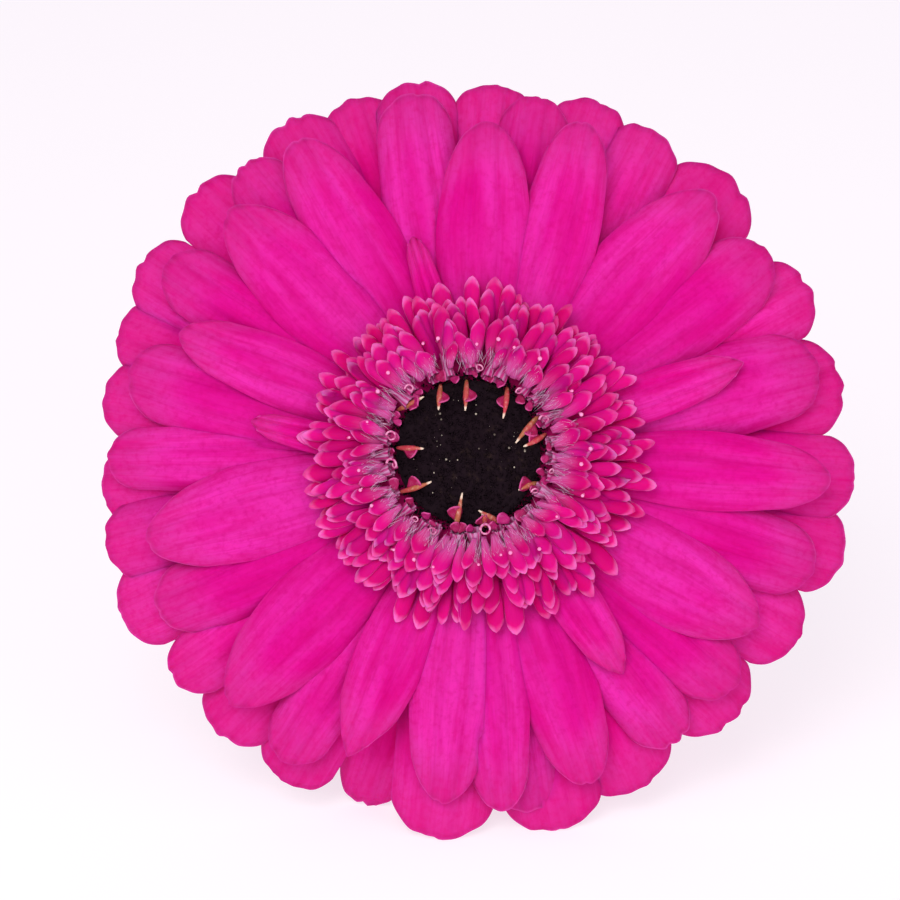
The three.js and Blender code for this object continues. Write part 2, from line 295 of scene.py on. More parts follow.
# Across and along a blade, each from 0 to 1.
def splitUv(uv):
    parts = addNode(uv.id_data, "ShaderNodeSeparateXYZ")
    feed(parts.inputs[0], uv)
    return parts.outputs[0], parts.outputs[1]


# Across and along a blade, with a depth of its own for each blade, so no two are marked alike.
def ownCoords(across, along, tint):
    joined = addNode(tint.id_data, "ShaderNodeCombineXYZ")
    for index, part in enumerate((across, along, doMath("MULTIPLY", tint, 40.0))):
        feed(joined.inputs[index], part)
    return joined.outputs[0]


# 0 on a blade's midline, 1 at both of its edges.
def fromMidline(across):
    doubled = doMath("MULTIPLY", across, 2.0)
    return doMath("ABSOLUTE", doMath("SUBTRACT", doubled, 1.0))


def readAttribute(tree, name):
    return addNode(tree, "ShaderNodeAttribute", attribute_name=name).outputs["Fac"]


def objectCoords(tree):
    return addNode(tree, "ShaderNodeTexCoord").outputs["Object"]


def noiseOn(source, scale, detail=3.0, rough=0.55, stretch=(1.0, 1.0, 1.0)):
    mapping = addNode(source.id_data, "ShaderNodeMapping")
    feed(mapping.inputs["Vector"], source)
    feed(mapping.inputs["Scale"], stretch)
    texture = addNode(source.id_data, "ShaderNodeTexNoise")
    feed(texture.inputs["Vector"], mapping.outputs[0])
    feed(texture.inputs["Scale"], scale)
    feed(texture.inputs["Detail"], detail)
    feed(texture.inputs["Roughness"], rough)
    return texture.outputs["Fac"]


# Ends a material: its colour, how rough and shiny it is, and the height of its skin, where the
# depth is in metres.
def finishMaterial(material, colour, relief=None, rough=0.5, shine=0.3, depth=0.0, strength=1.0):
    tree = material.node_tree
    shader = tree.nodes["Principled BSDF"]
    feed(shader.inputs["Base Color"], colour)
    feed(shader.inputs["Roughness"], rough)
    feed(shader.inputs["Specular IOR Level"], shine)
    if relief is not None:
        bump = addNode(tree, "ShaderNodeBump")
        feed(bump.inputs["Strength"], strength)
        feed(bump.inputs["Distance"], depth)
        feed(bump.inputs["Height"], relief)
        feed(shader.inputs["Normal"], bump.outputs[0])
    return material


# Lets some light pass a little way through a petal.
def letLightIn(material, weight, colour, depth):
    shader = material.node_tree.nodes["Principled BSDF"]
    feed(shader.inputs["Subsurface Weight"], weight)
    feed(shader.inputs["Subsurface Radius"], colour)
    feed(shader.inputs["Subsurface Scale"], depth)


# The camera stands on the axis of the bloom.
camera = {
    "distance": 0.6,
    "lens": 166.0,           # a 130 mm wide frame at the bloom
    "aimSide": -4.06,        # the frame's middle from the axis, in millimetres
    "aimUp": 1.3,
    "clipStart": 0.01,
}


def makeCamera():
    aim = bloomPlace @ Vector((camera["aimSide"], camera["aimUp"], 0))
    turn = bloomPlace.to_3x3().normalized()
    eye = aim + turn @ Vector((0, 0, camera["distance"]))
    bpy.ops.object.camera_add(location=eye, rotation=turn.to_euler())
    obj = bpy.context.active_object
    obj.data.lens = camera["lens"]
    obj.data.clip_start = camera["clipStart"]
    bpy.context.scene.camera = obj


makeCamera()
print("camera set")

# The long ray florets, in four layers.
# Each floret: angle of its root, angle of its tip, reach of its tip, width, level, roll,
# how pointed its tip is, and where its tip is notched, from -1 to 1 across.
frontRays = [
    (0.7, 1.5, 48.6, 13.4, 9, 0, 0.0, ()),
    (21.5, 17.5, 51.0, 11.6, 8, 1, 0.0, (-0.1,)),
    (41, 41.5, 51.2, 13.4, 7, 2, 0.1, (0.4,)),
    (91, 93.5, 51.0, 11.2, 8, 0, 0.1, ()),
    (120.5, 121, 47.1, 13.6, 8, 0, 0.1, (0.2,)),
    (162, 161, 49.7, 11.6, 6, -1, 0.0, (0.1,)),
    (175.5, 176, 51.0, 10.4, 7, -1, 0.0, ()),
    (187.5, 186, 50.0, 12.5, 8, -1, 0.1, (0.15,)),
    (204.5, 203.7, 46.8, 10.2, 9, 0, 0.6, ()),
    (227, 225.5, 50.5, 13.4, 8, 0, 0.2, (0.1,)),
    (256.7, 256, 49.4, 13.7, 8, 0, 0.1, (-0.1,)),
    (294, 293, 46.8, 9.6, 8, 0, 0.2, ()),
    (314.5, 315, 50.9, 13.3, 8, -1, 0.1, (-0.2,)),
    (332.5, 330, 53.1, 12.3, 7, -1, 0.0, (0.1,)),
]
shortRays = [
    (68, 70, 40.7, 6.9, 8.3, 0, 0.6, ()),
    (147, 146, 37.3, 7.2, 8.3, 0, 0.5, ()),
    (277, 279.5, 33.2, 4.6, 8.8, 0, 0.5, ()),
    (343, 343.5, 33.4, 4.2, 8.8, 0, 0.4, ()),
]
middleRays = [
    (9.5, 9.5, 53.4, 11.0, 3.4, 0, 0.0, (0.1,)),
    (56.5, 54.5, 51.8, 12.5, 5.6, 1, 0.1, (-0.3,)),
    (75, 75, 51.2, 13.6, 5, 0, 0.0, (0.2,)),
    (108, 108, 51.3, 11.6, 5.4, 0, 0.0, ()),
    (135, 132, 50.0, 10.9, 5.6, 0, 0.1, (0.1,)),
    (146.5, 145, 50.3, 10.6, 5, 0, 0.0, (-0.3, 0.2)),
    (171.5, 171.5, 51.8, 10.5, 3.4, 0, 0.0, ()),
    (198.5, 198.5, 53.7, 10.5, 3.2, 0, 0.0, (0.0,)),
    (213, 213, 52.2, 10.4, 5.4, 0, 0.1, ()),
    (234, 234, 54.7, 10.5, 3.4, 0, 0.0, (0.2,)),
    (243, 244.5, 51.6, 11.6, 5.4, 0, 0.1, (0.0,)),
    (270, 270, 53.7, 9.6, 5, 0, 0.0, ()),
    (281, 284, 52.2, 12.3, 5.6, 0, 0.0, (-0.2,)),
    (302, 302, 53.4, 10.9, 5.2, 0, 0.1, ()),
    (321.5, 321.5, 54.8, 10.5, 3.4, 0, 0.0, (-0.4, 0.0, 0.4)),
    (345, 349.5, 53.9, 11.8, 5.2, 0, 0.0, (0.2,)),
]
backRays = [
    (2.5, 2.5, 54.7, 12, 1.2, 0, 0.0, (0.2,)),
    (18.5, 18.5, 55.2, 11.5, 0, 0, 0.0, (0.1,)),
    (28, 28, 54.4, 11.5, 1.4, 0, 0.0, ()),
    (42, 42, 55.4, 15, 0.4, 0, 0.0, (0.35,)),
    (62.5, 62.5, 54.5, 12.5, 1.6, 0, 0.0, (-0.2,)),
    (78, 78, 54.5, 14.5, 0.2, 0, 0.0, (-0.3, 0.25)),
    (93, 93, 55.2, 12, 1.4, 0, 0.0, (0.1,)),
    (105, 105, 55.4, 13, 0.2, 0, 0.0, ()),
    (119.5, 119.5, 53.8, 13, 1.4, 0, 0.1, (0.0,)),
    (135.5, 135.5, 53.5, 14.5, 0.2, 0, 0.0, (-0.3, 0.2)),
    (154, 154, 53.7, 15, 1.4, 0, 0.0, (-0.35,)),
    (167.5, 167.5, 55.4, 14.5, 0.2, 0, 0.0, (0.0,)),
    (186, 186, 55.5, 15, 1.4, 0, 0.1, (0.1,)),
    (211, 211, 55.1, 12, 0.2, 0, 0.0, (0.2,)),
    (223.5, 223.5, 55.2, 12, 1.4, 0, 0.0, (-0.2,)),
    (246, 246, 57.0, 12.5, 0.2, 0, 0.0, (0.1,)),
    (256.5, 256.5, 55.7, 11, 1.6, 0, 0.0, ()),
    (265.5, 265.5, 55.1, 12, 0.2, 0, 0.0, (-0.3,)),
    (279.5, 279.5, 55.4, 11.5, 1.6, 0, 0.0, ()),
    (290, 290, 55.8, 11, 0.2, 0, 0.0, (-0.2,)),
    (300, 300, 57.0, 12.5, 1.4, 0, 0.0, (0.1,)),
    (313.5, 313.5, 57.0, 12.5, 0.2, 0, 0.0, (0.0,)),
    (330.5, 330.5, 56.7, 12, 1.4, 0, 0.0, (-0.1, 0.3)),
    (340.5, 340.5, 55.7, 11, 0.2, 0, 0.0, ()),
    (350, 350, 55.8, 12, 1.2, 0, 0.0, (0.2,)),
]
restingDrop = {167.5: 2.2, 186: 0.0, 198.5: 11.4}   # florets that touch the surface

# Layers of ray florets: the florets, how far their tips drop, the share of their width that
# rounds the tip, how much they taper, and how scalloped their tips are.
rayLayers = {
    "rayBack": (backRays, 3.6, 0.40, 0.04, 0.10),
    "rayMiddle": (middleRays, 2.2, 0.50, 0.12, 0.08),
    "rayFront": (frontRays, 0.6, 0.66, 0.28, 0.04),
    "rayShort": (shortRays, 0.2, 0.66, 0.28, 0.02),
}

ray = {
    "seed": 7,
    "lanes": 36,
    "rows": 28,
    "rowGather": 0.85,     # under 1 it draws the rows closer towards the tip
    "thickness": 0.36,
    "root": 9.0,
    "rootHeight": 0.4,
    "shoulder": 20.0,
    "lowest": -1.8,
    "step": 0.62,
    "rootWidth": 0.58,     # share of its width at the root
    "gain": 0.45,          # and the share gained by its widest place
    "widest": 0.58,        # share of its length
    "pointedEnd": 0.25,    # how much longer a fully pointed tip is
    "hump": 1.1,           # how far its middle rises
    "arch": 0.031,         # how round it is across
    "edgeRoll": 0.8,       # how far its edges turn down
    "tipRoll": 1.1,        # how far its tip bends back
    "tipRollStart": 0.78,
    "furrow": 0.55,        # depth of its two lengthwise furrows
    "furrowPlaces": (-0.36, 0.34),
    "furrowWidth": 0.13,
    "ripple": 0.36,
    "notch": 0.4,
    "notchWidth": 0.1,
    "wander": 0.5,         # how far chance curls its tip and sways its middle
    "tintSpread": 0.25,
    "petal": (0.68, 0.0045, 0.262),
    # the darker tone of its streaks and freckles, and of its painted edge shade
    "deep": (0.56, 0.0004, 0.165),
    # the lighter tone of the bands, partly painted light
    "light": (0.77, 0.0260, 0.375),
    "tip": (0.60, 0.0520, 0.335),
    "rim": (0.88, 0.09, 0.47),
    "under": (0.70, 0.085, 0.37),
    "underShare": 0.6,
    "through": {"weight": 0.35, "colour": (1.0, 0.1, 0.45), "depth": 0.0020},
    "finish": {"rough": 0.6, "shine": 0.02, "depth": 0.0002, "strength": 0.35},
}


def makeRayMaterial():
    material, tree = newMaterial("rayPetal")
    across, along = splitUv(readUv(tree))
    tint = readAttribute(tree, "tint")
    fromMiddle = fromMidline(across)
    coords = objectCoords(tree)
    own = ownCoords(across, along, tint)
    veins = noiseOn(own, 1.0, 3.0, 0.5, stretch=(48.0, 3.0, 1.0))
    bands = noiseOn(own, 1.0, 2.0, 0.5, stretch=(3.4, 1.2, 1.0))
    streaks = noiseOn(own, 1.0, 3.0, 0.6, stretch=(11.0, 4.0, 1.0))
    freckles = noiseOn(coords, 1100.0, 3.0, 0.6)
    patchy = noiseOn(coords, 60.0, 1.0)
    # Lighter and darker lengthwise bands: partly each petal's own random tone, partly painted
    # light and shade across its soft folds.
    toneAndPaintedLightShare = fade(doMath("ADD", bands, doMath("MULTIPLY", tint, 0.6)), 0.3, 0.7)
    colour = blendColours(toneAndPaintedLightShare, ray["petal"], ray["light"])
    colour = blendColours(fade(along, 0.72, 1.0, most=0.75), colour, ray["tip"])
    colour = blendColours(fade(streaks, 0.36, 0.8, most=0.65), colour, ray["deep"])
    colour = blendColours(fade(freckles, 0.4, 0.8, most=0.5), colour, ray["deep"])
    colour = blendColours(fade(veins, 0.45, 0.75, most=0.3), colour, ray["deep"])
    # Darker towards its edges and its tip: painted shade for the petal's rounded form.
    edge = doMath("MAXIMUM", fade(fromMiddle, 0.4, 1.0), fade(along, 0.8, 1.0))
    colour = blendColours(doMath("MULTIPLY", edge, 0.45), colour, ray["deep"])
    rim = doMath("MAXIMUM", fade(fromMiddle, 0.97, 1.0), fade(along, 0.988, 1.0))
    rim = doMath("MULTIPLY", rim, fade(patchy, 0.42, 0.62, least=0.05, most=0.4))
    colour = blendColours(rim, colour, ray["rim"])
    underShare = doMath("MULTIPLY", readAttribute(tree, "under"), ray["underShare"])
    colour = blendColours(underShare, colour, ray["under"])
    relief = doMath("ADD", doMath("MULTIPLY", freckles, 0.5), veins)
    letLightIn(material, **ray["through"])
    return finishMaterial(material, colour, relief, **ray["finish"])


def bendRay(obj, floret, drop, roundness, taper, scallop, rng):
    rootAngle, tipAngle, reach, width, level, roll, pointed, notches = floret
    root = ray["root"]
    shoulder = ray["shoulder"]
    widest = ray["widest"]
    wander = ray["wander"]
    tipLength = width * (roundness + ray["pointedEnd"] * pointed)
    lifted = ray["lowest"] + ray["step"] * level - ray["rootHeight"]
    phase = rng.uniform(0, 6.28)
    curl = rng.uniform(-wander, wander)
    sway = rng.uniform(-wander, wander)
    for vertex in obj.data.vertices:
        s, t = placeOn(vertex)
        end = reach - tipLength * (roundEnd(s) * (1 - pointed) + abs(s) ** 1.25 * pointed)
        for place in notches:
            end -= ray["notch"] * groove(s, place, ray["notchWidth"])
        end += scallop * (math.sin(8 * s + phase) + math.sin(13 * s - 2 * phase)) * t ** 6
        out = root + (end - root) * t ** ray["rowGather"]
        share = (out - root) / (reach - root)
        fullness = ray["rootWidth"] + ray["gain"] * smoothStep(share, 0, widest)
        fullness -= taper * smoothStep(share, widest, 1)
        side = s * width / 2 * fullness
        rise = smoothStep(out, root, shoulder)
        past = max(0.0, (out - shoulder) / (reach - shoulder))
        hump = ray["hump"] * math.sin(math.pi * min(1.0, past * 0.8))
        height = ray["rootHeight"] + lifted * rise + hump - drop * past * past
        height -= ray["arch"] * side * side * rise + ray["edgeRoll"] * abs(s) ** 5 * rise
        height -= ray["tipRoll"] * smoothStep(past, ray["tipRollStart"], 1.0) ** 2
        height -= side * math.tan(math.radians(roll))
        for place in ray["furrowPlaces"]:
            depth = ray["furrow"] * groove(s, place, ray["furrowWidth"])
            height -= depth * smoothStep(share, 0.15, 0.5)
        wave = math.sin(9 * share + phase) + 0.6 * math.sin(17 * share + 2 * phase)
        height += ray["ripple"] * wave * s * abs(s) * past
        height += curl * past ** 4
        side += sway * math.sin(math.pi * share)
        angle = rootAngle + (tipAngle - rootAngle) * share
        vertex.co = bloomPoint(angle, out, side, height)
    setAttribute(obj, "tint", rng.uniform(-ray["tintSpread"], ray["tintSpread"]))


def makeRays(name, material):
    florets, drop, roundness, taper, scallop = rayLayers[name]
    rng = random.Random(ray["seed"] + len(florets))
    blank = flatBlade(ray["lanes"], ray["rows"])
    parts = []
    for floret in florets:
        part = copyOf(blank)
        ownDrop = drop if florets is frontRays else restingDrop.get(floret[1], drop)
        bendRay(part, floret, ownDrop, roundness, taper, scallop, rng)
        parts.append(part)
    throwAway(blank)
    obj = joinAll(parts, name)
    topCount = len(obj.data.vertices)
    applyModifier(obj, "SOLIDIFY", thickness=ray["thickness"], offset=-1)
    underCount = len(obj.data.vertices) - topCount
    setAttribute(obj, "under", [0.0] * topCount + [1.0] * underCount)
    finishPiece(obj, material, "ray_florets", "ray_florets")
    print(name, len(florets), "florets")


rayMaterial = makeRayMaterial()
for layer in rayLayers:
    makeRays(layer, rayMaterial)

# The collar of short trans florets. Rows: how many, reach of the tip, length, width, height
# of the tip.
transRows = [
    (38, 23.2, 7.0, 2.4, 4.8),
    (44, 25.0, 8.3, 2.4, 5.8),
    (48, 23.7, 8.2, 2.4, 6.6),
    (48, 22.4, 8.0, 2.4, 7.3),
    (46, 21.1, 7.6, 2.4, 8.0),
    (44, 19.8, 7.0, 2.4, 8.6),
    (40, 18.4, 6.1, 2.35, 9.2),
    (36, 17.0, 4.9, 2.3, 9.8),
]
trans = {
    "seed": 11,
    "lanes": 6,
    "rows": 9,
    "thickness": 0.28,
    "slope": 0.14,         # how much the tip stands over the root, for each millimetre out
    "tipShare": 0.64,      # length of the rounded tip, in widths
    "rootWidth": 0.4,
    "tipTaper": 0.22,
    "rise": 0.7,
    "arch": 0.42,
    "angleSpread": 4.0,
    "reachSpread": 1.3,
    "turnSpread": 1.4,
    "heightSpread": 0.6,
    "widths": (0.72, 1.18),
    "aroundDisc": 5,       # from this row on they stand round the disc instead of the axis
    "firstPale": 4,        # rows past this one are paler at the root
    "palerBy": 0.3,
    "petal": (0.54, 0.0006, 0.135),
    "bright": (0.70, 0.004, 0.215),
    # pale pink of the tips; on the collar partly a painted highlight
    "tip": (1.0, 0.17, 0.54),
    "pale": (0.58, 0.14, 0.37),
    "through": {"weight": 0.5, "colour": (1.0, 0.1, 0.35), "depth": 0.0022},
    "finish": {"rough": 0.5, "shine": 0.03, "depth": 0.00015, "strength": 0.4},
}


def makeTransMaterial():
    material, tree = newMaterial("transPetal")
    uv = readUv(tree)
    across, along = splitUv(uv)
    tint = readAttribute(tree, "tint")
    veins = noiseOn(uv, 2.0, stretch=(9.0, 1.0, 1.0))
    patchy = noiseOn(objectCoords(tree), 420.0, 1.0)
    colour = blendColours(tint, trans["petal"], trans["bright"])
    # Paler tips, and edges near the tip: partly the floret's own pale tip, partly a painted
    # highlight, patchy in strength.
    tipShare = doMath("MULTIPLY", fade(along, 0.87, 1.0), fade(tint, -0.8, 0.6))
    edgeShare = fade(fromMidline(across), 0.84, 1.0, most=0.6)
    edgeShare = doMath("MULTIPLY", edgeShare, fade(along, 0.4, 0.8))
    paleTipAndHighlight = doMath("MAXIMUM", tipShare, edgeShare)
    paleTipAndHighlight = doMath("MULTIPLY", paleTipAndHighlight, fade(patchy, 0.38, 0.6, least=0.35))
    colour = blendColours(paleTipAndHighlight, colour, trans["tip"])
    baseShare = doMath("MULTIPLY", fade(along, 0.75, 0.2), readAttribute(tree, "pale"))
    baseShare = doMath("MULTIPLY", baseShare, fade(veins, 0.4, 0.6, least=0.35))
    colour = blendColours(baseShare, colour, trans["pale"])
    letLightIn(material, **trans["through"])
    return finishMaterial(material, colour, veins, **trans["finish"])


def shapeTrans(obj, angle, turn, rootOut, tipOut, tipHeight, width, rng):
    root = Vector((0, rootOut, tipHeight - trans["slope"] * (tipOut - rootOut)))
    along = Vector((0, tipOut, tipHeight)) - root
    up = Vector((0, -along.z, along.y)).normalized()
    tipShare = trans["tipShare"] * width / along.length
    curl = rng.uniform(-0.3, 0.4)
    lean = rng.uniform(-0.25, 0.25)
    roll = rng.uniform(-0.5, 0.5)
    for vertex in obj.data.vertices:
        s, t = placeOn(vertex)
        share = t * (1 - tipShare * (0.78 * roundEnd(s) + 0.22 * abs(s) ** 1.2))
        fullness = trans["rootWidth"] + (1 - trans["rootWidth"]) * smoothStep(share, 0, 0.6)
        fullness -= trans["tipTaper"] * smoothStep(share, 0.7, 1)
        side = s * width / 2 * fullness
        raised = trans["rise"] * math.sin(math.pi * min(1, share))
        raised += curl * share ** 4 - trans["arch"] * side * side
        point = root + along * share + up * (raised + side * math.sin(roll))
        point.x = side * math.cos(roll) + 3 * lean * share * share + turn * share
        vertex.co = bloomPoint(angle, point.y, point.x, point.z)
    setAttribute(obj, "tint", rng.uniform(0.0, 1.0))


def makeTrans():
    rng = random.Random(trans["seed"])
    blank = flatBlade(trans["lanes"], trans["rows"])
    parts = []

    def spread(name):
        return rng.uniform(-trans[name], trans[name])

    for row, (count, reach, length, width, tipHeight) in enumerate(transRows):
        for k in range(count):
            angle = (k + 0.5 * (row % 2)) * 360 / count + spread("angleSpread")
            toward = bloomPoint(angle, 1, 0, 0)
            shift = bloom["discX"] * toward.x + bloom["discY"] * toward.y
            middle = reach + shift * min(1, row / trans["aroundDisc"])
            tipOut = middle + spread("reachSpread")
            part = copyOf(blank)
            turn = spread("turnSpread")
            high = tipHeight + spread("heightSpread")
            wide = width * rng.uniform(*trans["widths"])
            shapeTrans(part, angle, turn, middle - length, tipOut, high, wide, rng)
            setAttribute(part, "pale", trans["palerBy"] * max(0, row - trans["firstPale"]))
            parts.append(part)
    throwAway(blank)
    obj = joinAll(parts, "transCollar")
    applyModifier(obj, "SOLIDIFY", thickness=trans["thickness"], offset=-1)
    finishPiece(obj, makeTransMaterial(), "trans_florets", "trans_florets")
    print("trans florets", len(parts))


makeTrans()

# The fleshy ring that the collar grows from, as (radius, height) from its underside up.
receptacleRings = [
    (12.0, 0.3), (17.5, 0.5), (20.0, 1.4), (20.4, 2.6), (18.8, 4.2), (16.0, 5.8), (13.0, 6.8),
    (11.2, 6.3), (10.6, 4.9),
]
receptacle = {
    "sides": 72,
    "bump": 0.3,
    "sectionOut": 15.0,    # a place inside the ring's section
    "sectionHeight": 3.0,
    "skin": (0.46, 0.0012, 0.115),
    "shade": (0.30, 0.0015, 0.075),
    "finish": {"rough": 0.6, "shine": 0.05, "depth": 0.0003, "strength": 0.5},
}


# Extruding leaves the vertices in another order each time. Their place gives a lasting one:
# their column round the axis, and then their direction from the middle of the section.
def ringOrder(vertex):
    sides = receptacle["sides"]
    out = math.hypot(vertex.co.x, vertex.co.y)
    column = round(math.atan2(vertex.co.x, vertex.co.y) * sides / math.pi) % (2 * sides)
    height = vertex.co.z - receptacle["sectionHeight"]
    return column if out > 0.1 else 0, math.atan2(out - receptacle["sectionOut"], height)


def makeReceptacle():
    rng = random.Random(trans["seed"] + 1)
    obj = ringSolid(receptacleRings, receptacle["sides"])
    applyModifier(obj, "SUBSURF", levels=1, render_levels=1)
    for vertex in sorted(obj.data.vertices, key=ringOrder):
        out = math.hypot(vertex.co.x, vertex.co.y)
        inward = 1 - smoothStep(out, 14, 20)
        vertex.co.x += bloom["discX"] * inward
        vertex.co.y += bloom["discY"] * inward
        vertex.co.z += rng.uniform(-receptacle["bump"], receptacle["bump"])
    material, tree = newMaterial("receptacle")
    grain = noiseOn(objectCoords(tree), 700.0)
    colour = blendColours(fade(grain, 0.35, 0.7), receptacle["skin"], receptacle["shade"])
    finishMaterial(material, colour, grain, **receptacle["finish"])
    obj.name = "receptacle"
    finishPiece(obj, material, "trans_florets", "trans_florets")
    print("receptacle under the collar")


makeReceptacle()

# The dark centre: a bed of closed florets, their bristles and a few pale specks, which are
# painted glints.
disc = {
    "seed": 3,
    "bristles": 3000,
    "bristleLength": (0.9, 1.7),
    "bristleRadius": (0.12, 0.24),
    "bristleLean": 0.5,
    "spread": 11.6,        # they run on under the open florets
    "sides": 64,
    "bedRings": 30,
    "rise": 0.8,           # height of its middle over the foot, and of its rim over the middle
    "bump": 0.35,
    "colour": (0.013, 0.006, 0.010),
    "warm": (0.036, 0.020, 0.017),
    "finish": {"rough": 0.85, "shine": 0.06, "depth": 0.0003, "strength": 0.6},
    # pale specks that stand in for glints: painted highlights
    "specks": 46,
    "speckSpread": 0.8,    # share of the disc's radius
    "speckLeast": 0.03,
    "speckGain": 0.17,
    "speck": (0.60, 0.52, 0.42),
    "speckFinish": {"rough": 0.4, "shine": 0.4},
}


def makeDiscMaterial():
    material, tree = newMaterial("darkDisc")
    coords = objectCoords(tree)
    grain = noiseOn(coords, 900.0, 4.0, 0.65)
    patch = noiseOn(coords, 160.0, 2.0)
    share = doMath("MULTIPLY", fade(grain, 0.5, 0.75), fade(patch, 0.4, 0.7))
    colour = blendColours(share, disc["colour"], disc["warm"])
    return finishMaterial(material, colour, grain, **disc["finish"])


def discHeight(out):
    return bloom["discFoot"] + disc["rise"] * (1 + (out / bloom["discRadius"]) ** 2)


# A closed dish, inset ring by ring from its rim, with an uneven top.
def makeDiscBed(material, rng):
    edge = bloom["discRadius"]
    bpy.ops.mesh.primitive_cylinder_add(
        vertices=disc["sides"], radius=edge, depth=1.0, location=(0, 0, 0.5)
    )
    obj = bpy.context.active_object
    bpy.ops.object.transform_apply(location=True)
    bpy.ops.object.mode_set(mode="EDIT")
    bpy.ops.mesh.select_mode(type="FACE")
    bpy.ops.mesh.select_all(action="DESELECT")
    bpy.ops.object.mode_set(mode="OBJECT")
    for face in obj.data.polygons:
        face.select = face.normal.z > 0.9
    bpy.ops.object.mode_set(mode="EDIT")
    for ring in range(disc["bedRings"]):
        bpy.ops.mesh.inset(thickness=edge / (disc["bedRings"] + 1))
    bpy.ops.object.mode_set(mode="OBJECT")
    middle = Vector((bloom["discX"], bloom["discY"], 0))
    for vertex in obj.data.vertices:
        out = math.hypot(vertex.co.x, vertex.co.y)
        height = bloom["discFoot"]
        if vertex.co.z > 0.5:
            height = discHeight(out) + rng.uniform(0, disc["bump"])
        vertex.co = middle + Vector((vertex.co.x, vertex.co.y, height))
    obj.name = "discBed"
    finishPiece(obj, material, "disc_florets", "disc_florets")


def makeDisc():
    material = makeDiscMaterial()
    rng = random.Random(disc["seed"])
    makeDiscBed(material, rng)
    hairs = []
    for k in range(disc["bristles"]):
        out = disc["spread"] * math.sqrt(rng.random())
        a = rng.uniform(0, 2 * math.pi)
        foot = Vector((bloom["discX"] + out * math.cos(a), bloom["discY"] + out * math.sin(a), 0))
        foot.z = discHeight(out) - 0.2
        tip = foot.copy()
        tip.x += rng.uniform(-disc["bristleLean"], disc["bristleLean"])
        tip.y += rng.uniform(-disc["bristleLean"], disc["bristleLean"])
        tip.z += rng.uniform(*disc["bristleLength"])
        hairs.append((foot, tip, rng.uniform(*disc["bristleRadius"]), rng.random()))
    obj = makeHairs("discBristles", hairs, 4)
    finishPiece(obj, material, "disc_florets", "disc_florets")
    print("disc bristles", len(hairs))
    makePaintedGlints(rng)


# Pale specks on the dark florets: painted glints that stand in for highlights.
def makePaintedGlints(rng):
    bpy.ops.mesh.primitive_ico_sphere_add(subdivisions=1, radius=1.0)
    blank = bpy.context.active_object
    specks = []
    for k in range(disc["specks"]):
        out = disc["speckSpread"] * bloom["discRadius"] * math.sqrt(rng.random())
        place = discPoint(rng.uniform(0, 360), out, discHeight(out) + rng.uniform(0.9, 1.3))
        speck = copyOf(blank)
        size = disc["speckLeast"] + disc["speckGain"] * rng.random() ** 3
        speck.data.transform(Matrix.Translation(place) @ Matrix.Scale(size, 4))
        setAttribute(speck, "tint", rng.random())
        specks.append(speck)
    throwAway(blank)
    material, tree = newMaterial("paintedGlint")
    colour = blendColours(readAttribute(tree, "tint"), disc["warm"], disc["speck"])
    finishMaterial(material, colour, **disc["speckFinish"])
    obj = joinAll(specks, "paintedGlints")
    finishPiece(obj, material, "disc_florets")


makeDisc()

# The opened florets round the dark centre.
opened = {
    "seed": 5,
    "tubes": 27,
    "footRadius": 14.2,    # where a tube starts, round the middle of the disc
    "mouthRadius": 11.3,   # and where its mouth is
    "foot": 7.3,
    "mouth": 8.6,
    "tubeRadius": 1.15,
    "tubeSides": 14,
    "tubeRibs": 7,
    "tubeWall": 0.12,
    "lobeSpan": 0.46,
    "lobeWall": 0.16,
    "lobeSize": (1.2, 2.2),
    "lobeSlim": (0.5, 1.0),
    "veins": 8,
    "pink": (0.46, 0.010, 0.16),
    "lilac": (0.62, 0.30, 0.54),
    "lobe": (0.36, 0.006, 0.075),
    "tubeFinish": {"rough": 0.5, "shine": 0.25, "depth": 0.0003, "strength": 0.6},
    "lobeFinish": {"rough": 0.5, "shine": 0.2, "depth": 0.0002, "strength": 0.5},
}
upward = Vector((0, 0, 1))


def makeTubeMaterial():
    material, tree = newMaterial("floretTube")
    across = splitUv(readUv(tree))[0]
    veins = doMath("SINE", doMath("MULTIPLY", across, 2 * math.pi * opened["veins"]))
    blotch = noiseOn(objectCoords(tree), 900.0, 2.0)
    stripes = doMath("ADD", veins, doMath("MULTIPLY", blotch, 1.6))
    share = fade(doMath("ADD", stripes, readAttribute(tree, "tint")), 0.2, 2.4, most=0.75)
    colour = blendColours(share, opened["pink"], opened["lilac"])
    return finishMaterial(material, colour, stripes, **opened["tubeFinish"])


def makeLobeMaterial():
    material, tree = newMaterial("floretLobe")
    uv = readUv(tree)
    along = splitUv(uv)[1]
    veins = noiseOn(uv, 2.0, stretch=(8.0, 1.0, 1.0))
    colour = blendColours(readAttribute(tree, "tint"), opened["lobe"], opened["pink"])
    colour = blendColours(fade(veins, 0.5, 0.8, most=0.35), colour, opened["lilac"])
    colour = blendColours(fade(along, 0.8, 1.0, most=0.4), colour, trans["tip"])
    return finishMaterial(material, colour, veins, **opened["lobeFinish"])


# A floret's tube: a ribbed cylinder, widened at its open mouth.
def makeTubeBlank():
    bpy.ops.mesh.primitive_cylinder_add(
        vertices=opened["tubeSides"], radius=0.72, depth=1.0, end_fill_type="NOTHING",
        location=(0, 0, 0.5)
    )
    obj = bpy.context.active_object
    bpy.ops.object.transform_apply(location=True)
    editAll(obj)
    bpy.ops.mesh.subdivide(number_cuts=4)
    bpy.ops.object.mode_set(mode="OBJECT")
    for vertex in obj.data.vertices:
        wide = 0.75 + 0.5 * smoothStep(vertex.co.z, 0.3, 1.0)
        wide *= 1 + 0.07 * math.cos(opened["tubeRibs"] * math.atan2(vertex.co.y, vertex.co.x))
        vertex.co.x *= wide
        vertex.co.y *= wide
    return obj


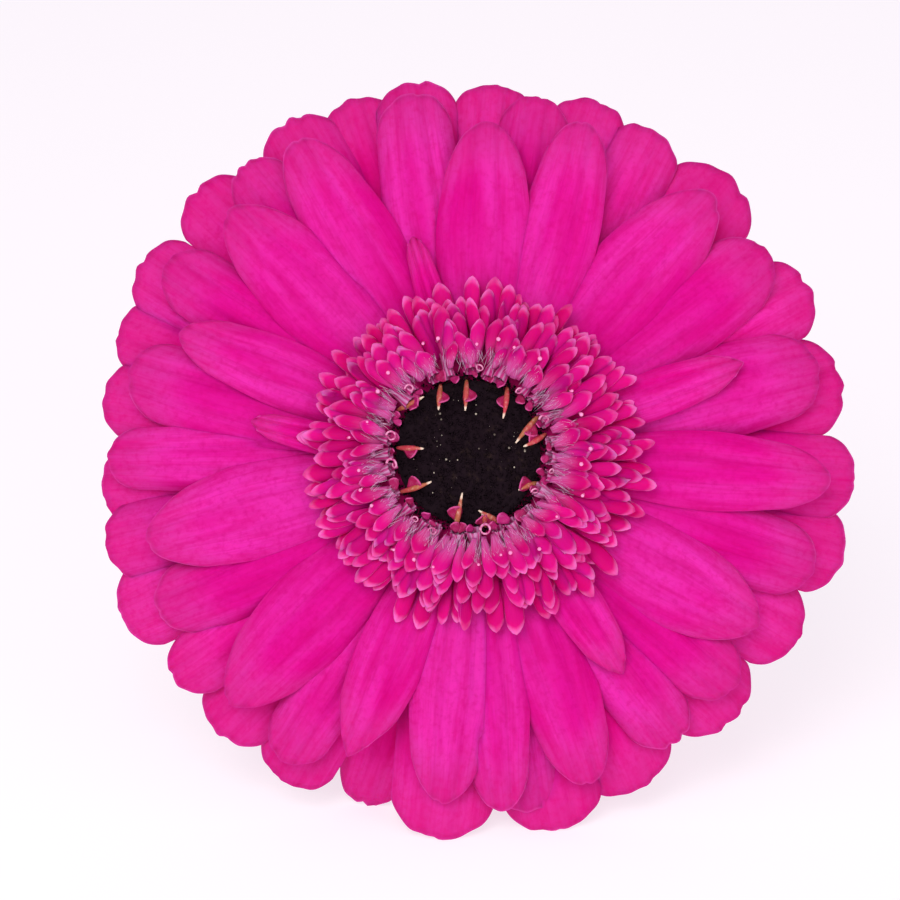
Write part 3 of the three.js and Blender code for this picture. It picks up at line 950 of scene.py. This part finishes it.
# A lobe: a small spoon that curls back on itself.
def makeLobeBlank():
    obj = flatBlade(4, 6)
    for vertex in obj.data.vertices:
        s, t = placeOn(vertex)
        share = t * (1 - 0.34 * roundEnd(s))
        fullness = 0.5 + 0.5 * smoothStep(share, 0, 0.45) - 0.2 * smoothStep(share, 0.6, 1)
        side = s * opened["lobeSpan"] * fullness
        bend = 1.1 * share
        rise = 0.4 * math.sin(bend) ** 2 + 0.12 * math.sin(3 * s) * share
        vertex.co = Vector((side, math.sin(bend), rise - 0.5 * side * side))
    return obj


# Turns and moves a blank from its own axis (z up, y ahead) to a place in the bloom.
def setPart(obj, place, ahead, up, scale):
    y = ahead.normalized()
    x = y.cross(up).normalized()
    z = x.cross(y)
    turn = Matrix((x, y, z)).transposed().to_4x4()
    size = Matrix.Diagonal((*scale, 1))
    obj.data.transform(Matrix.Translation(place) @ turn @ size)


# The small lobes that stand round a tube's mouth.
def makeLobes(blank, angle, mouth, rng):
    lobes = []
    for j in range(rng.choice((1, 1, 2))):
        away = (j - 1) * 60 + rng.uniform(-35, 35) + 180
        ahead = bloomPoint(angle + away, 1, 0, rng.uniform(-0.2, 0.9))
        size = rng.uniform(*opened["lobeSize"])
        slim = size * rng.uniform(*opened["lobeSlim"])
        lobe = copyOf(blank)
        setPart(lobe, mouth, ahead, upward, (slim, size, size))
        setAttribute(lobe, "tint", rng.random())
        lobes.append(lobe)
    return lobes


def makeOpened():
    rng = random.Random(opened["seed"])
    tubeBlank = makeTubeBlank()
    lobeBlank = makeLobeBlank()
    tubes = []
    lobes = []
    for k in range(opened["tubes"]):
        angle = k * 360 / opened["tubes"] + rng.uniform(-3, 3)
        foot = discPoint(angle, opened["footRadius"] + rng.uniform(-0.5, 0.4), opened["foot"])
        mouthOut = opened["mouthRadius"] + rng.uniform(-0.5, 0.5)
        mouthAngle = angle + rng.uniform(-2, 2)
        mouth = discPoint(mouthAngle, mouthOut, opened["mouth"] + rng.uniform(-0.4, 0.4))
        axis = mouth - foot
        radius = opened["tubeRadius"] * rng.uniform(0.8, 1.2)
        tube = copyOf(tubeBlank)
        ahead = bloomPoint(angle, 0, 1, 0).cross(axis)
        setPart(tube, foot, ahead, axis, (radius, radius, axis.length))
        setAttribute(tube, "tint", rng.random())
        tubes.append(tube)
        lobes += makeLobes(lobeBlank, angle, mouth, rng)
    throwAway(tubeBlank, lobeBlank)
    obj = joinAll(tubes, "floretTubes")
    applyModifier(obj, "SOLIDIFY", thickness=opened["tubeWall"], offset=-1)
    finishPiece(obj, makeTubeMaterial(), "open_florets", "open_florets")
    obj = joinAll(lobes, "floretLobes")
    applyModifier(obj, "SOLIDIFY", thickness=opened["lobeWall"], offset=-1)
    finishPiece(obj, makeLobeMaterial(), "open_florets", "open_florets")
    print("open florets", len(tubes), "with", len(lobes), "lobes")


makeOpened()

# Pale stigma lobes rolled into open rings, over the mouths of the tubes.
curl = {
    "count": 11,
    "thick": 0.24,         # share of the ring's radius
    "out": (10.6, 12.4),
    "height": (9.6, 10.3),
    "size": (0.35, 0.72),
    "tilt": 0.8,
    "spiral": (0.3, 0.8),
    "opening": 0.2,
    "pink": (0.80, 0.30, 0.52),
    "finish": {"rough": 0.4, "shine": 0.3, "depth": 0.0001, "strength": 0.4},
}


def makeCurls():
    rng = random.Random(opened["seed"] + 1)
    bpy.ops.mesh.primitive_torus_add(
        major_radius=1.0, minor_radius=curl["thick"], major_segments=20, minor_segments=7
    )
    blank = bpy.context.active_object
    curls = []
    for k in range(curl["count"]):
        angle = (k + rng.uniform(-0.4, 0.4)) * 360 / curl["count"]
        place = discPoint(angle, rng.uniform(*curl["out"]), rng.uniform(*curl["height"]))
        ring = copyOf(blank)
        size = rng.uniform(*curl["size"])
        tilt = Matrix.Rotation(rng.uniform(-curl["tilt"], curl["tilt"]), 4, "X")
        tilt @= Matrix.Rotation(rng.uniform(-curl["tilt"], curl["tilt"]), 4, "Y")
        spiral = rng.uniform(*curl["spiral"])
        for vertex in ring.data.vertices:
            turn = math.atan2(vertex.co.y, vertex.co.x) / math.pi
            vertex.co *= 1 + curl["opening"] * turn
            vertex.co.z += spiral * turn
        ring.data.transform(Matrix.Translation(place) @ tilt @ Matrix.Scale(size, 4))
        curls.append(ring)
    throwAway(blank)
    material, tree = newMaterial("stigmaCurl")
    grain = noiseOn(objectCoords(tree), 1500.0)
    colour = blendColours(fade(grain, 0.4, 0.65), curl["pink"], opened["pink"])
    finishMaterial(material, colour, grain, **curl["finish"])
    obj = joinAll(curls, "stigmaCurls")
    finishPiece(obj, material, "open_florets")
    print("stigma curls", len(curls))


makeCurls()

# Anther tubes, each [x and y of its foot, x and y of its tip] in the bloom, and how redly
# it is coloured.
antherPlaces = [
    (-5.4, 10.6, -5.7, 7.0, 0.5),
    (-1.7, 11.2, -1.9, 6.9, 0.3),
    (4.1, 10.2, 3.5, 5.8, 0.8),
    (8.7, 6.3, 5.3, 2.3, 0.2),
    (9.6, 3.6, 6.4, 1.8, 0.5),
    (8.4, -3.4, 5.7, -4.4, 0.2),
    (-3.3, -10.2, -2.3, -4.8, 0.3),
    (3.4, -9.2, 0.0, -7.3, 0.3),
    (1.0, -9.6, 0.5, -7.8, 0.4),
    (-11.2, -4.7, -6.7, -3.2, 0.3),
    (-11.6, 1.6, -7.8, 1.5, 0.9),
    (-11.5, 7.0, -7.8, 8.9, 0.1),
]
anther = {
    "seed": 9,
    "radius": 0.35,
    "sides": 12,
    "rings": 16,
    "footHeight": 7.4,
    "tipHeight": 9.0,
    "hump": 1.1,           # how far its middle rises
    "tipStart": 0.78,      # share of its length where the slim pale tip starts
    "lobeSize": (1.8, 2.4),
    "brown": (0.40, 0.12, 0.05),
    "red": (0.50, 0.035, 0.06),
    "cream": (0.85, 0.66, 0.52),
    "finish": {"rough": 0.5, "shine": 0.3, "depth": 0.0001, "strength": 0.5},
}


def makeAntherMaterial():
    material, tree = newMaterial("antherTube")
    grain = noiseOn(objectCoords(tree), 2200.0)
    streak = noiseOn(objectCoords(tree), 600.0, 2.0)
    redder = fade(streak, 0.35, 0.65, least=-0.3, most=0.5)
    redShare = doMath("ADD", readAttribute(tree, "tint"), redder, clamp=True)
    colour = blendColours(redShare, anther["brown"], anther["red"])
    colour = blendColours(fade(grain, 0.5, 0.8, most=0.4), colour, anther["cream"])
    tipShare = fade(readAttribute(tree, "share"), 0.8, 0.92)
    colour = blendColours(tipShare, colour, anther["cream"])
    return finishMaterial(material, colour, grain, **anther["finish"])


# Bends a straight tube from foot to tip over its raised middle.
def bendAnther(obj, foot, middle, tip, aside):
    shares = []
    for vertex in obj.data.vertices:
        t = vertex.co.z
        shares.append(t)
        centre = foot * (1 - t) ** 2 + middle * 2 * t * (1 - t) + tip * t * t
        ahead = ((middle - foot) * (1 - t) + (tip - middle) * t).normalized()
        up = ahead.cross(aside)
        thin = 0.55
        if t < anther["tipStart"]:
            thin = 0.65 + 0.5 * math.sin(math.pi * min(1, t * 1.25))
        thin *= 1 - 0.5 * smoothStep(t, 0.88, 1.0)
        size = anther["radius"] * thin
        vertex.co = centre + (aside * vertex.co.x + up * vertex.co.y) * size
    setAttribute(obj, "share", shares)


def makeAnthers():
    rng = random.Random(anther["seed"])
    rings = [(1.0, i / anther["rings"]) for i in range(anther["rings"] + 1)]
    blank = ringSolid(rings, anther["sides"])
    lobeBlank = makeLobeBlank()
    parts = []
    lobes = []
    for footX, footY, tipX, tipY, red in antherPlaces:
        foot = Vector((footX, footY, anther["footHeight"]))
        tip = Vector((tipX, tipY, anther["tipHeight"] + rng.uniform(-0.4, 0.6)))
        sway = Vector((rng.uniform(-0.3, 0.3), rng.uniform(-0.3, 0.3), anther["hump"]))
        aside = (tip - foot).cross(upward).normalized()
        part = copyOf(blank)
        bendAnther(part, foot, (foot + tip) / 2 + sway, tip, aside)
        setAttribute(part, "tint", red)
        parts.append(part)
        if red > 0.15:
            lobe = copyOf(lobeBlank)
            ahead = (tip - foot).normalized() + aside * rng.choice((-0.5, 0.5))
            size = rng.uniform(*anther["lobeSize"])
            place = foot + (tip - foot) * 0.3 + upward * 0.5
            setPart(lobe, place, ahead, upward, (size, size, size))
            setAttribute(lobe, "tint", 0.0)
            lobes.append(lobe)
    throwAway(blank, lobeBlank)
    obj = joinAll(parts, "antherTubes")
    finishPiece(obj, makeAntherMaterial(), "open_florets", "open_florets")
    obj = joinAll(lobes, "antherLobes")
    applyModifier(obj, "SOLIDIFY", thickness=opened["lobeWall"], offset=-1)
    finishPiece(obj, bpy.data.materials["floretLobe"], "open_florets", "open_florets")
    print("anther tubes", len(parts))


makeAnthers()

# Pale hairs (pappus) between the collar and the open florets, and the small pale stigma tips.
fluff = {
    "seed": 13,
    "tufts": 54,
    "tuftOut": (13.6, 15.2),
    "hairs": 14,
    "hairFoot": 8.8,
    "hairLean": (-2.8, -0.4),
    "hairRise": (1.4, 2.6),
    "hairRadius": 0.06,
    "hair": (0.74, 0.50, 0.68),
    "hairFinish": {"rough": 0.6, "shine": 0.2},
    "beads": 26,
    "beadOut": (15.0, 17.6),
    "beadHeight": 10.6,
    "beadRadius": 0.27,
    "beadSize": (0.7, 1.2),
    "styleLength": 2.4,
    "styleRadius": 0.24,
    "bead": (0.92, 0.38, 0.62),
    "beadFinish": {"rough": 0.35, "shine": 0.4},
}


def makePappus(rng):
    hairs = []
    for k in range(fluff["tufts"]):
        angle = k * 360 / fluff["tufts"] + rng.uniform(-3, 3)
        out = rng.uniform(*fluff["tuftOut"])
        for j in range(fluff["hairs"]):
            hairAngle = angle + rng.uniform(-3, 3)
            foot = discPoint(hairAngle, out + rng.uniform(-0.6, 1.2), fluff["hairFoot"])
            lean = bloomPoint(angle + rng.uniform(-25, 25), rng.uniform(*fluff["hairLean"]), 0, 0)
            tip = foot + lean + upward * rng.uniform(*fluff["hairRise"])
            hairs.append((foot, tip, fluff["hairRadius"], rng.random()))
    material, tree = newMaterial("pappus")
    colour = blendColours(readAttribute(tree, "tint"), fluff["hair"], opened["lilac"])
    finishMaterial(material, colour, **fluff["hairFinish"])
    obj = makeHairs("pappusHairs", hairs)
    finishPiece(obj, material, "open_florets", "open_florets")
    print("pappus hairs", len(hairs))


# Each tip is a bead on a short style.
def makeStigmaTips(rng):
    bpy.ops.mesh.primitive_ico_sphere_add(subdivisions=2, radius=fluff["beadRadius"])
    blank = bpy.context.active_object
    beads = []
    styles = []
    for k in range(fluff["beads"]):
        angle = k * 360 / fluff["beads"] + rng.uniform(-6, 6)
        out = rng.uniform(*fluff["beadOut"])
        place = discPoint(angle, out, fluff["beadHeight"] + rng.uniform(-0.3, 0.3))
        lean = Vector((rng.uniform(-0.4, 0.4), rng.uniform(-0.4, 0.4), -fluff["styleLength"]))
        styles.append((place + lean, place + upward * 0.2, fluff["styleRadius"], rng.random()))
        bead = copyOf(blank)
        size = rng.uniform(*fluff["beadSize"])
        bead.data.transform(Matrix.Translation(place) @ Matrix.Scale(size, 4))
        beads.append(bead)
    throwAway(blank)
    material, tree = newMaterial("stigmaTip")
    grain = noiseOn(objectCoords(tree), 1800.0)
    colour = blendColours(grain, fluff["bead"], trans["tip"])
    finishMaterial(material, colour, **fluff["beadFinish"])
    obj = joinAll(beads, "stigmaTips")
    finishPiece(obj, material, "open_florets")
    obj = makeHairs("styles", styles, 5)
    finishPiece(obj, material, "open_florets")
    print("stigma tips", len(beads))


fluffRng = random.Random(fluff["seed"])
makePappus(fluffRng)
makeStigmaTips(fluffRng)

# The green cup, its bracts and their hairs.
cup = {
    "seed": 17,
    "top": -3.7,
    "bottom": -15.9,
    "neck": -16.2,
    "hubBottom": -3.2,
    "neckRadius": 4.4,
    "swell": 9.4,
    "fullness": 0.8,       # under 1 it swells out sooner
    "rings": 14,
    "sides": 48,
    "green": (0.105, 0.21, 0.040),
    "light": (0.24, 0.38, 0.11),
    "dark": (0.05, 0.10, 0.022),
    "bractTip": (0.13, 0.035, 0.05),
    "finish": {"rough": 0.6, "shine": 0.25, "depth": 0.0002, "strength": 0.6},
    "hairs": 1500,
    "hairLength": (0.9, 1.9),
    "hairRadius": 0.045,
    "hair": (0.62, 0.66, 0.52),
    "hairFinish": {"rough": 0.55, "shine": 0.25},
}
# Rows of bracts: how many, height of the foot, height of the tip, width.
bractRows = [
    (12, -15.4, -9.4, 3.4),
    (14, -14.0, -6.8, 3.5),
    (16, -12.0, -4.9, 3.5),
    (20, -9.6, -4.0, 3.4),
]
bract = {
    "lanes": 6,
    "rows": 12,
    "thickness": 0.45,
    "lift": (0.9, 1.5),    # how far its tip stands off the cup
    "arch": 0.12,
    "rootWidth": 0.75,
    "bulge": 0.35,
}


def cupRadius(height):
    up = min(1.0, max(0.0, (height - cup["neck"]) / (cup["hubBottom"] - cup["neck"])))
    return cup["neckRadius"] + cup["swell"] * math.sin(up * math.pi / 2) ** cup["fullness"]


def makeGreenMaterial(name):
    material, tree = newMaterial(name)
    patches = noiseOn(objectCoords(tree), 260.0)
    grain = noiseOn(objectCoords(tree), 1800.0)
    colour = blendColours(fade(patches, 0.3, 0.7), cup["green"], cup["light"])
    colour = blendColours(fade(grain, 0.5, 0.75, most=0.5), colour, cup["dark"])
    return material, colour, grain


def makeBractMaterial():
    material, colour, grain = makeGreenMaterial("bract")
    across, along = splitUv(readUv(material.node_tree))
    fromMiddle = fromMidline(across)
    # Lighter along its midline and darker at its edges: painted light and shade that outline each
    # bract.
    colour = blendColours(fade(fromMiddle, 0.14, 0.0, most=0.5), colour, cup["light"])
    colour = blendColours(fade(fromMiddle, 0.75, 1.0, most=0.55), colour, cup["dark"])
    colour = blendColours(fade(along, 0.8, 1.0, most=0.7), colour, cup["bractTip"])
    return finishMaterial(material, colour, grain, **cup["finish"])


def makeHairMaterial():
    material, tree = newMaterial("greenHair")
    colour = blendColours(readAttribute(tree, "tint"), cup["hair"], cup["light"])
    return finishMaterial(material, colour, **cup["hairFinish"])


def makeCup():
    rise = (cup["top"] - cup["bottom"]) / cup["rings"]
    heights = [cup["bottom"] + rise * i for i in range(cup["rings"] + 1)]
    obj = ringSolid([(cupRadius(height), height) for height in heights], cup["sides"])
    material, colour, grain = makeGreenMaterial("cup")
    finishMaterial(material, colour, grain, **cup["finish"])
    finishPiece(obj, material, "involucre", "involucre")
    obj.name = "cup"
    print("cup of", cup["rings"], "rings")


def bendBract(obj, angle, foot, tip, width, rng):
    lift = rng.uniform(*bract["lift"])
    for vertex in obj.data.vertices:
        s, t = placeOn(vertex)
        share = t * (1 - 0.12 * abs(s) ** 1.5)
        height = foot + (tip - foot) * share
        fullness = bract["rootWidth"] + bract["bulge"] * math.sin(math.pi * share)
        fullness *= 1 - 0.9 * smoothStep(share, 0.45, 1.05)
        side = s * width / 2 * fullness
        out = cupRadius(height) + 0.1 + lift * share ** 1.4 - bract["arch"] * side * side
        vertex.co = bloomPoint(angle, out, side, height)


def makeBracts(rng):
    blank = flatBlade(bract["lanes"], bract["rows"])
    parts = []
    for row, (count, foot, tip, width) in enumerate(bractRows):
        for k in range(count):
            angle = (k + 0.5 * row) * 360 / count + rng.uniform(-3, 3)
            part = copyOf(blank)
            bendBract(part, angle, foot + rng.uniform(-0.3, 0.3), tip, width, rng)
            parts.append(part)
    throwAway(blank)
    obj = joinAll(parts, "bracts")
    obj.data.flip_normals()
    applyModifier(obj, "SOLIDIFY", thickness=bract["thickness"], offset=-1)
    finishPiece(obj, makeBractMaterial(), "involucre", "involucre")
    print("bracts", len(parts))


def makeCupHairs(rng):
    hairs = []
    for k in range(cup["hairs"]):
        angle = rng.uniform(0, 360)
        height = rng.uniform(cup["bottom"] + 0.5, cup["top"] - 0.8)
        out = cupRadius(height)
        foot = bloomPoint(angle, out + 0.1, 0, height)
        tipOut = out + rng.uniform(*cup["hairLength"])
        tipAngle = angle + rng.uniform(-6, 6)
        tip = bloomPoint(tipAngle, tipOut, 0, height + rng.uniform(-0.8, 0.8))
        hairs.append((foot, tip, cup["hairRadius"], rng.random()))
    finishPiece(makeHairs("cupHairs", hairs), makeHairMaterial(), "involucre", "involucre")
    print("cup hairs", len(hairs))


makeCup()
cupRng = random.Random(cup["seed"])
makeBracts(cupRng)
makeCupHairs(cupRng)

# The stem, with a slanted cut end.
stem = {
    "seed": 23,
    "top": -15.6,          # a little inside the cup
    "bow": 2.2,
    "neckRadius": 3.4,
    "footRadius": 4.2,
    "collar": 0.9,         # how much wider it grows into the cup
    "slant": 2.6,
    "rings": 70,
    "sides": 56,
    "ribs": 14,
    "ribDepth": 0.045,
    "smoothDeg": 50,
    "green": (0.20, 0.33, 0.075),
    "light": (0.36, 0.50, 0.17),
    "foot": (0.42, 0.50, 0.22),
    "streakLength": 22,
    "finish": {"rough": 0.5, "shine": 0.3, "depth": 0.0002, "strength": 0.5},
    "cutRings": (0.06, 0.08, 0.12, 0.14, 0.16, 0.18),
    "cutDome": 1.1,
    "cutRough": 0.12,
    "cutStart": 0.98,      # share of the radius from which the rind is skin
    "pith": (0.66, 0.70, 0.46),
    "bundle": (0.20, 0.30, 0.08),
    "hairs": 3200,
    "hairLength": (0.5, 1.2),
    "hairRadius": 0.04,
}


# Height in the bloom's frame at which the stem's lowest edge meets the surface.
def stemFoot():
    lean = math.radians(bloom["leanDeg"])
    rest = bloomPlace.translation.z / mm
    return -(rest - stem["footRadius"] * math.cos(lean)) / math.sin(lean)


def stemAt(share, angle, foot):
    radius = stem["neckRadius"]
    radius += (stem["footRadius"] - stem["neckRadius"]) * share ** 0.8
    radius += stem["collar"] * smoothStep(share, 0.05, 0.0)
    radius *= 1 - stem["ribDepth"] * (0.5 - 0.5 * math.cos(stem["ribs"] * angle))
    cut = stem["slant"] * (1 - math.cos(angle - math.pi)) * smoothStep(share, 0.9, 1.0)
    height = stem["top"] + (foot - stem["top"]) * share + cut
    x = radius * math.sin(angle) + stem["bow"] * math.sin(math.pi * share)
    return Vector((x, radius * math.cos(angle), height))


# A pale rind, a ring of darker bundles and a whitish pith.
def makeCutColour(tree, grain):
    inward = readAttribute(tree, "inward")
    pith = blendColours(fade(grain, 0.4, 0.7, most=0.4), stem["pith"], stem["light"])
    ring = doMath("MULTIPLY", fade(inward, 0.5, 0.68), fade(inward, 0.9, 0.75))
    bundles = noiseOn(objectCoords(tree), 1400.0, 1.0)
    ring = doMath("MULTIPLY", ring, fade(bundles, 0.42, 0.58, least=0.3))
    return blendColours(ring, pith, stem["bundle"])


def makeStemMaterial():
    material, tree = newMaterial("stemSkin")
    grain = noiseOn(objectCoords(tree), 1260.0)
    # streaks that run along the stem: coordinates turned to its axis and stretched
    mapping = addNode(tree, "ShaderNodeMapping", vector_type="TEXTURE")
    feed(mapping.inputs["Vector"], objectCoords(tree))
    feed(mapping.inputs["Rotation"], (math.radians(90 - bloom["leanDeg"]), 0, 0))
    feed(mapping.inputs["Scale"], (1, 1, stem["streakLength"]))
    streaks = noiseOn(mapping.outputs[0], 900.0)
    colour = blendColours(fade(streaks, 0.35, 0.65), stem["green"], stem["light"])
    footShare = fade(readAttribute(tree, "share"), 0.6, 1.0, most=0.5)
    colour = blendColours(footShare, colour, stem["foot"])
    colour = blendColours(fade(grain, 0.5, 0.75, most=0.25), colour, cup["dark"])
    cutColour = makeCutColour(tree, grain)
    colour = blendColours(readAttribute(tree, "cutFace"), colour, cutColour)
    relief = doMath("ADD", streaks, grain)
    return finishMaterial(material, colour, relief, **stem["finish"])


def makeStalk(foot):
    rings = [(1.0, i / stem["rings"]) for i in range(stem["rings"] + 1)]
    obj = ringSolid(rings, stem["sides"], stem["cutRings"])
    obj.name = "stemStalk"
    shares = []
    cutFace = []
    inwards = []
    for vertex in obj.data.vertices:
        share = vertex.co.z
        inward = min(1.0, math.hypot(vertex.co.x, vertex.co.y))
        angle = math.atan2(vertex.co.x, vertex.co.y)
        rim = stemAt(share, angle, foot)
        middle = (rim + stemAt(share, angle + math.pi, foot)) / 2
        onCut = inward < stem["cutStart"]
        vertex.co = middle + (rim - middle) * inward
        if onCut:
            vertex.co.z += stem["cutDome"] * smoothStep(inward, 0.85, 0.3)
            vertex.co.z += stem["cutRough"] * math.sin(31 * angle) * inward
        shares.append(share)
        cutFace.append(float(onCut))
        inwards.append(inward)
    setAttribute(obj, "share", shares)
    setAttribute(obj, "cutFace", cutFace)
    setAttribute(obj, "inward", inwards)
    editAll(obj)
    bpy.ops.mesh.normals_make_consistent(inside=False)
    bpy.ops.object.mode_set(mode="OBJECT")
    finishPiece(obj, makeStemMaterial(), "stem", "stem")
    pick(obj)
    bpy.ops.object.shade_smooth_by_angle(angle=math.radians(stem["smoothDeg"]))
    print("stalk of", stem["rings"], "rings")


def makeStemHairs(foot):
    rng = random.Random(stem["seed"])
    hairs = []
    for k in range(stem["hairs"]):
        share = rng.uniform(0.0, 0.985)
        angle = rng.uniform(0, 2 * math.pi)
        root = stemAt(share, angle, foot)
        axis = (stemAt(share, angle + math.pi, foot) + root) / 2
        outward = (root - axis).normalized()
        length = rng.uniform(*stem["hairLength"]) * (1 + 0.8 * smoothStep(share, 0.2, 0.0))
        lean = Vector((rng.uniform(-0.5, 0.5), rng.uniform(-0.5, 0.5), rng.uniform(-0.7, 0.7)))
        tip = root + (outward + lean) * length
        hairs.append((root - outward * 0.05, tip, stem["hairRadius"], rng.random()))
    finishPiece(makeHairs("stemHairs", hairs), bpy.data.materials["greenHair"], "stem", "stem")
    print("stem hairs", len(hairs))


makeStalk(stemFoot())
makeStemHairs(stemFoot())

# A pale floor and soft light.
studio = {
    "floor": (0.44, 0.42, 0.44),
    "floorSize": 8.0,
    "cloud": 1.03,
    "floorFinish": {"rough": 0.9, "shine": 0.05},
    "glow": (1.0, 0.94, 1.0),
    "glowStrength": 0.66,
    "world": (1.0, 0.97, 1.0),
    "worldStrength": 0.56,
}
# Lights: place from the bloom, in its own directions, size and power.
lights = {
    "keyLight": ((-0.22, 0.30, 0.95), 0.5, 5.4),
    "fillLight": ((0.42, 0.0, 0.95), 0.6, 1.9),
}


def makeFloor():
    bpy.ops.mesh.primitive_plane_add(size=studio["floorSize"], location=(0, 0, 0))
    floor = bpy.context.active_object
    floor.name = "paleFloor"
    material, tree = newMaterial("paleFloor")
    cloud = noiseOn(objectCoords(tree), 6.0)
    paleTipAndHighlight = tuple(c * studio["cloud"] for c in studio["floor"])
    finishMaterial(material, blendColours(cloud, studio["floor"], paleTipAndHighlight), **studio["floorFinish"])
    shader = tree.nodes["Principled BSDF"]
    feed(shader.inputs["Emission Color"], (*studio["glow"], 1))
    feed(shader.inputs["Emission Strength"], studio["glowStrength"])
    floor.data.materials.append(material)


def makeLights():
    world = bpy.data.worlds.new("softStudio")
    world.use_nodes = True
    background = world.node_tree.nodes["Background"]
    feed(background.inputs[0], (*studio["world"], 1))
    feed(background.inputs[1], studio["worldStrength"])
    bpy.context.scene.world = world
    aim = bloomPlace.translation
    turn = bloomPlace.to_3x3().normalized()
    for name, (place, size, power) in lights.items():
        eye = aim + turn @ Vector(place)
        bpy.ops.object.light_add(type="AREA", location=eye)
        light = bpy.context.active_object
        light.name = name
        light.rotation_euler = (aim - eye).to_track_quat("-Z", "Y").to_euler()
        light.data.size = size
        light.data.energy = power


makeFloor()
makeLights()
bpy.context.scene.view_settings.view_transform = "Standard"
bpy.context.scene.view_settings.look = "None"
print("studio set")
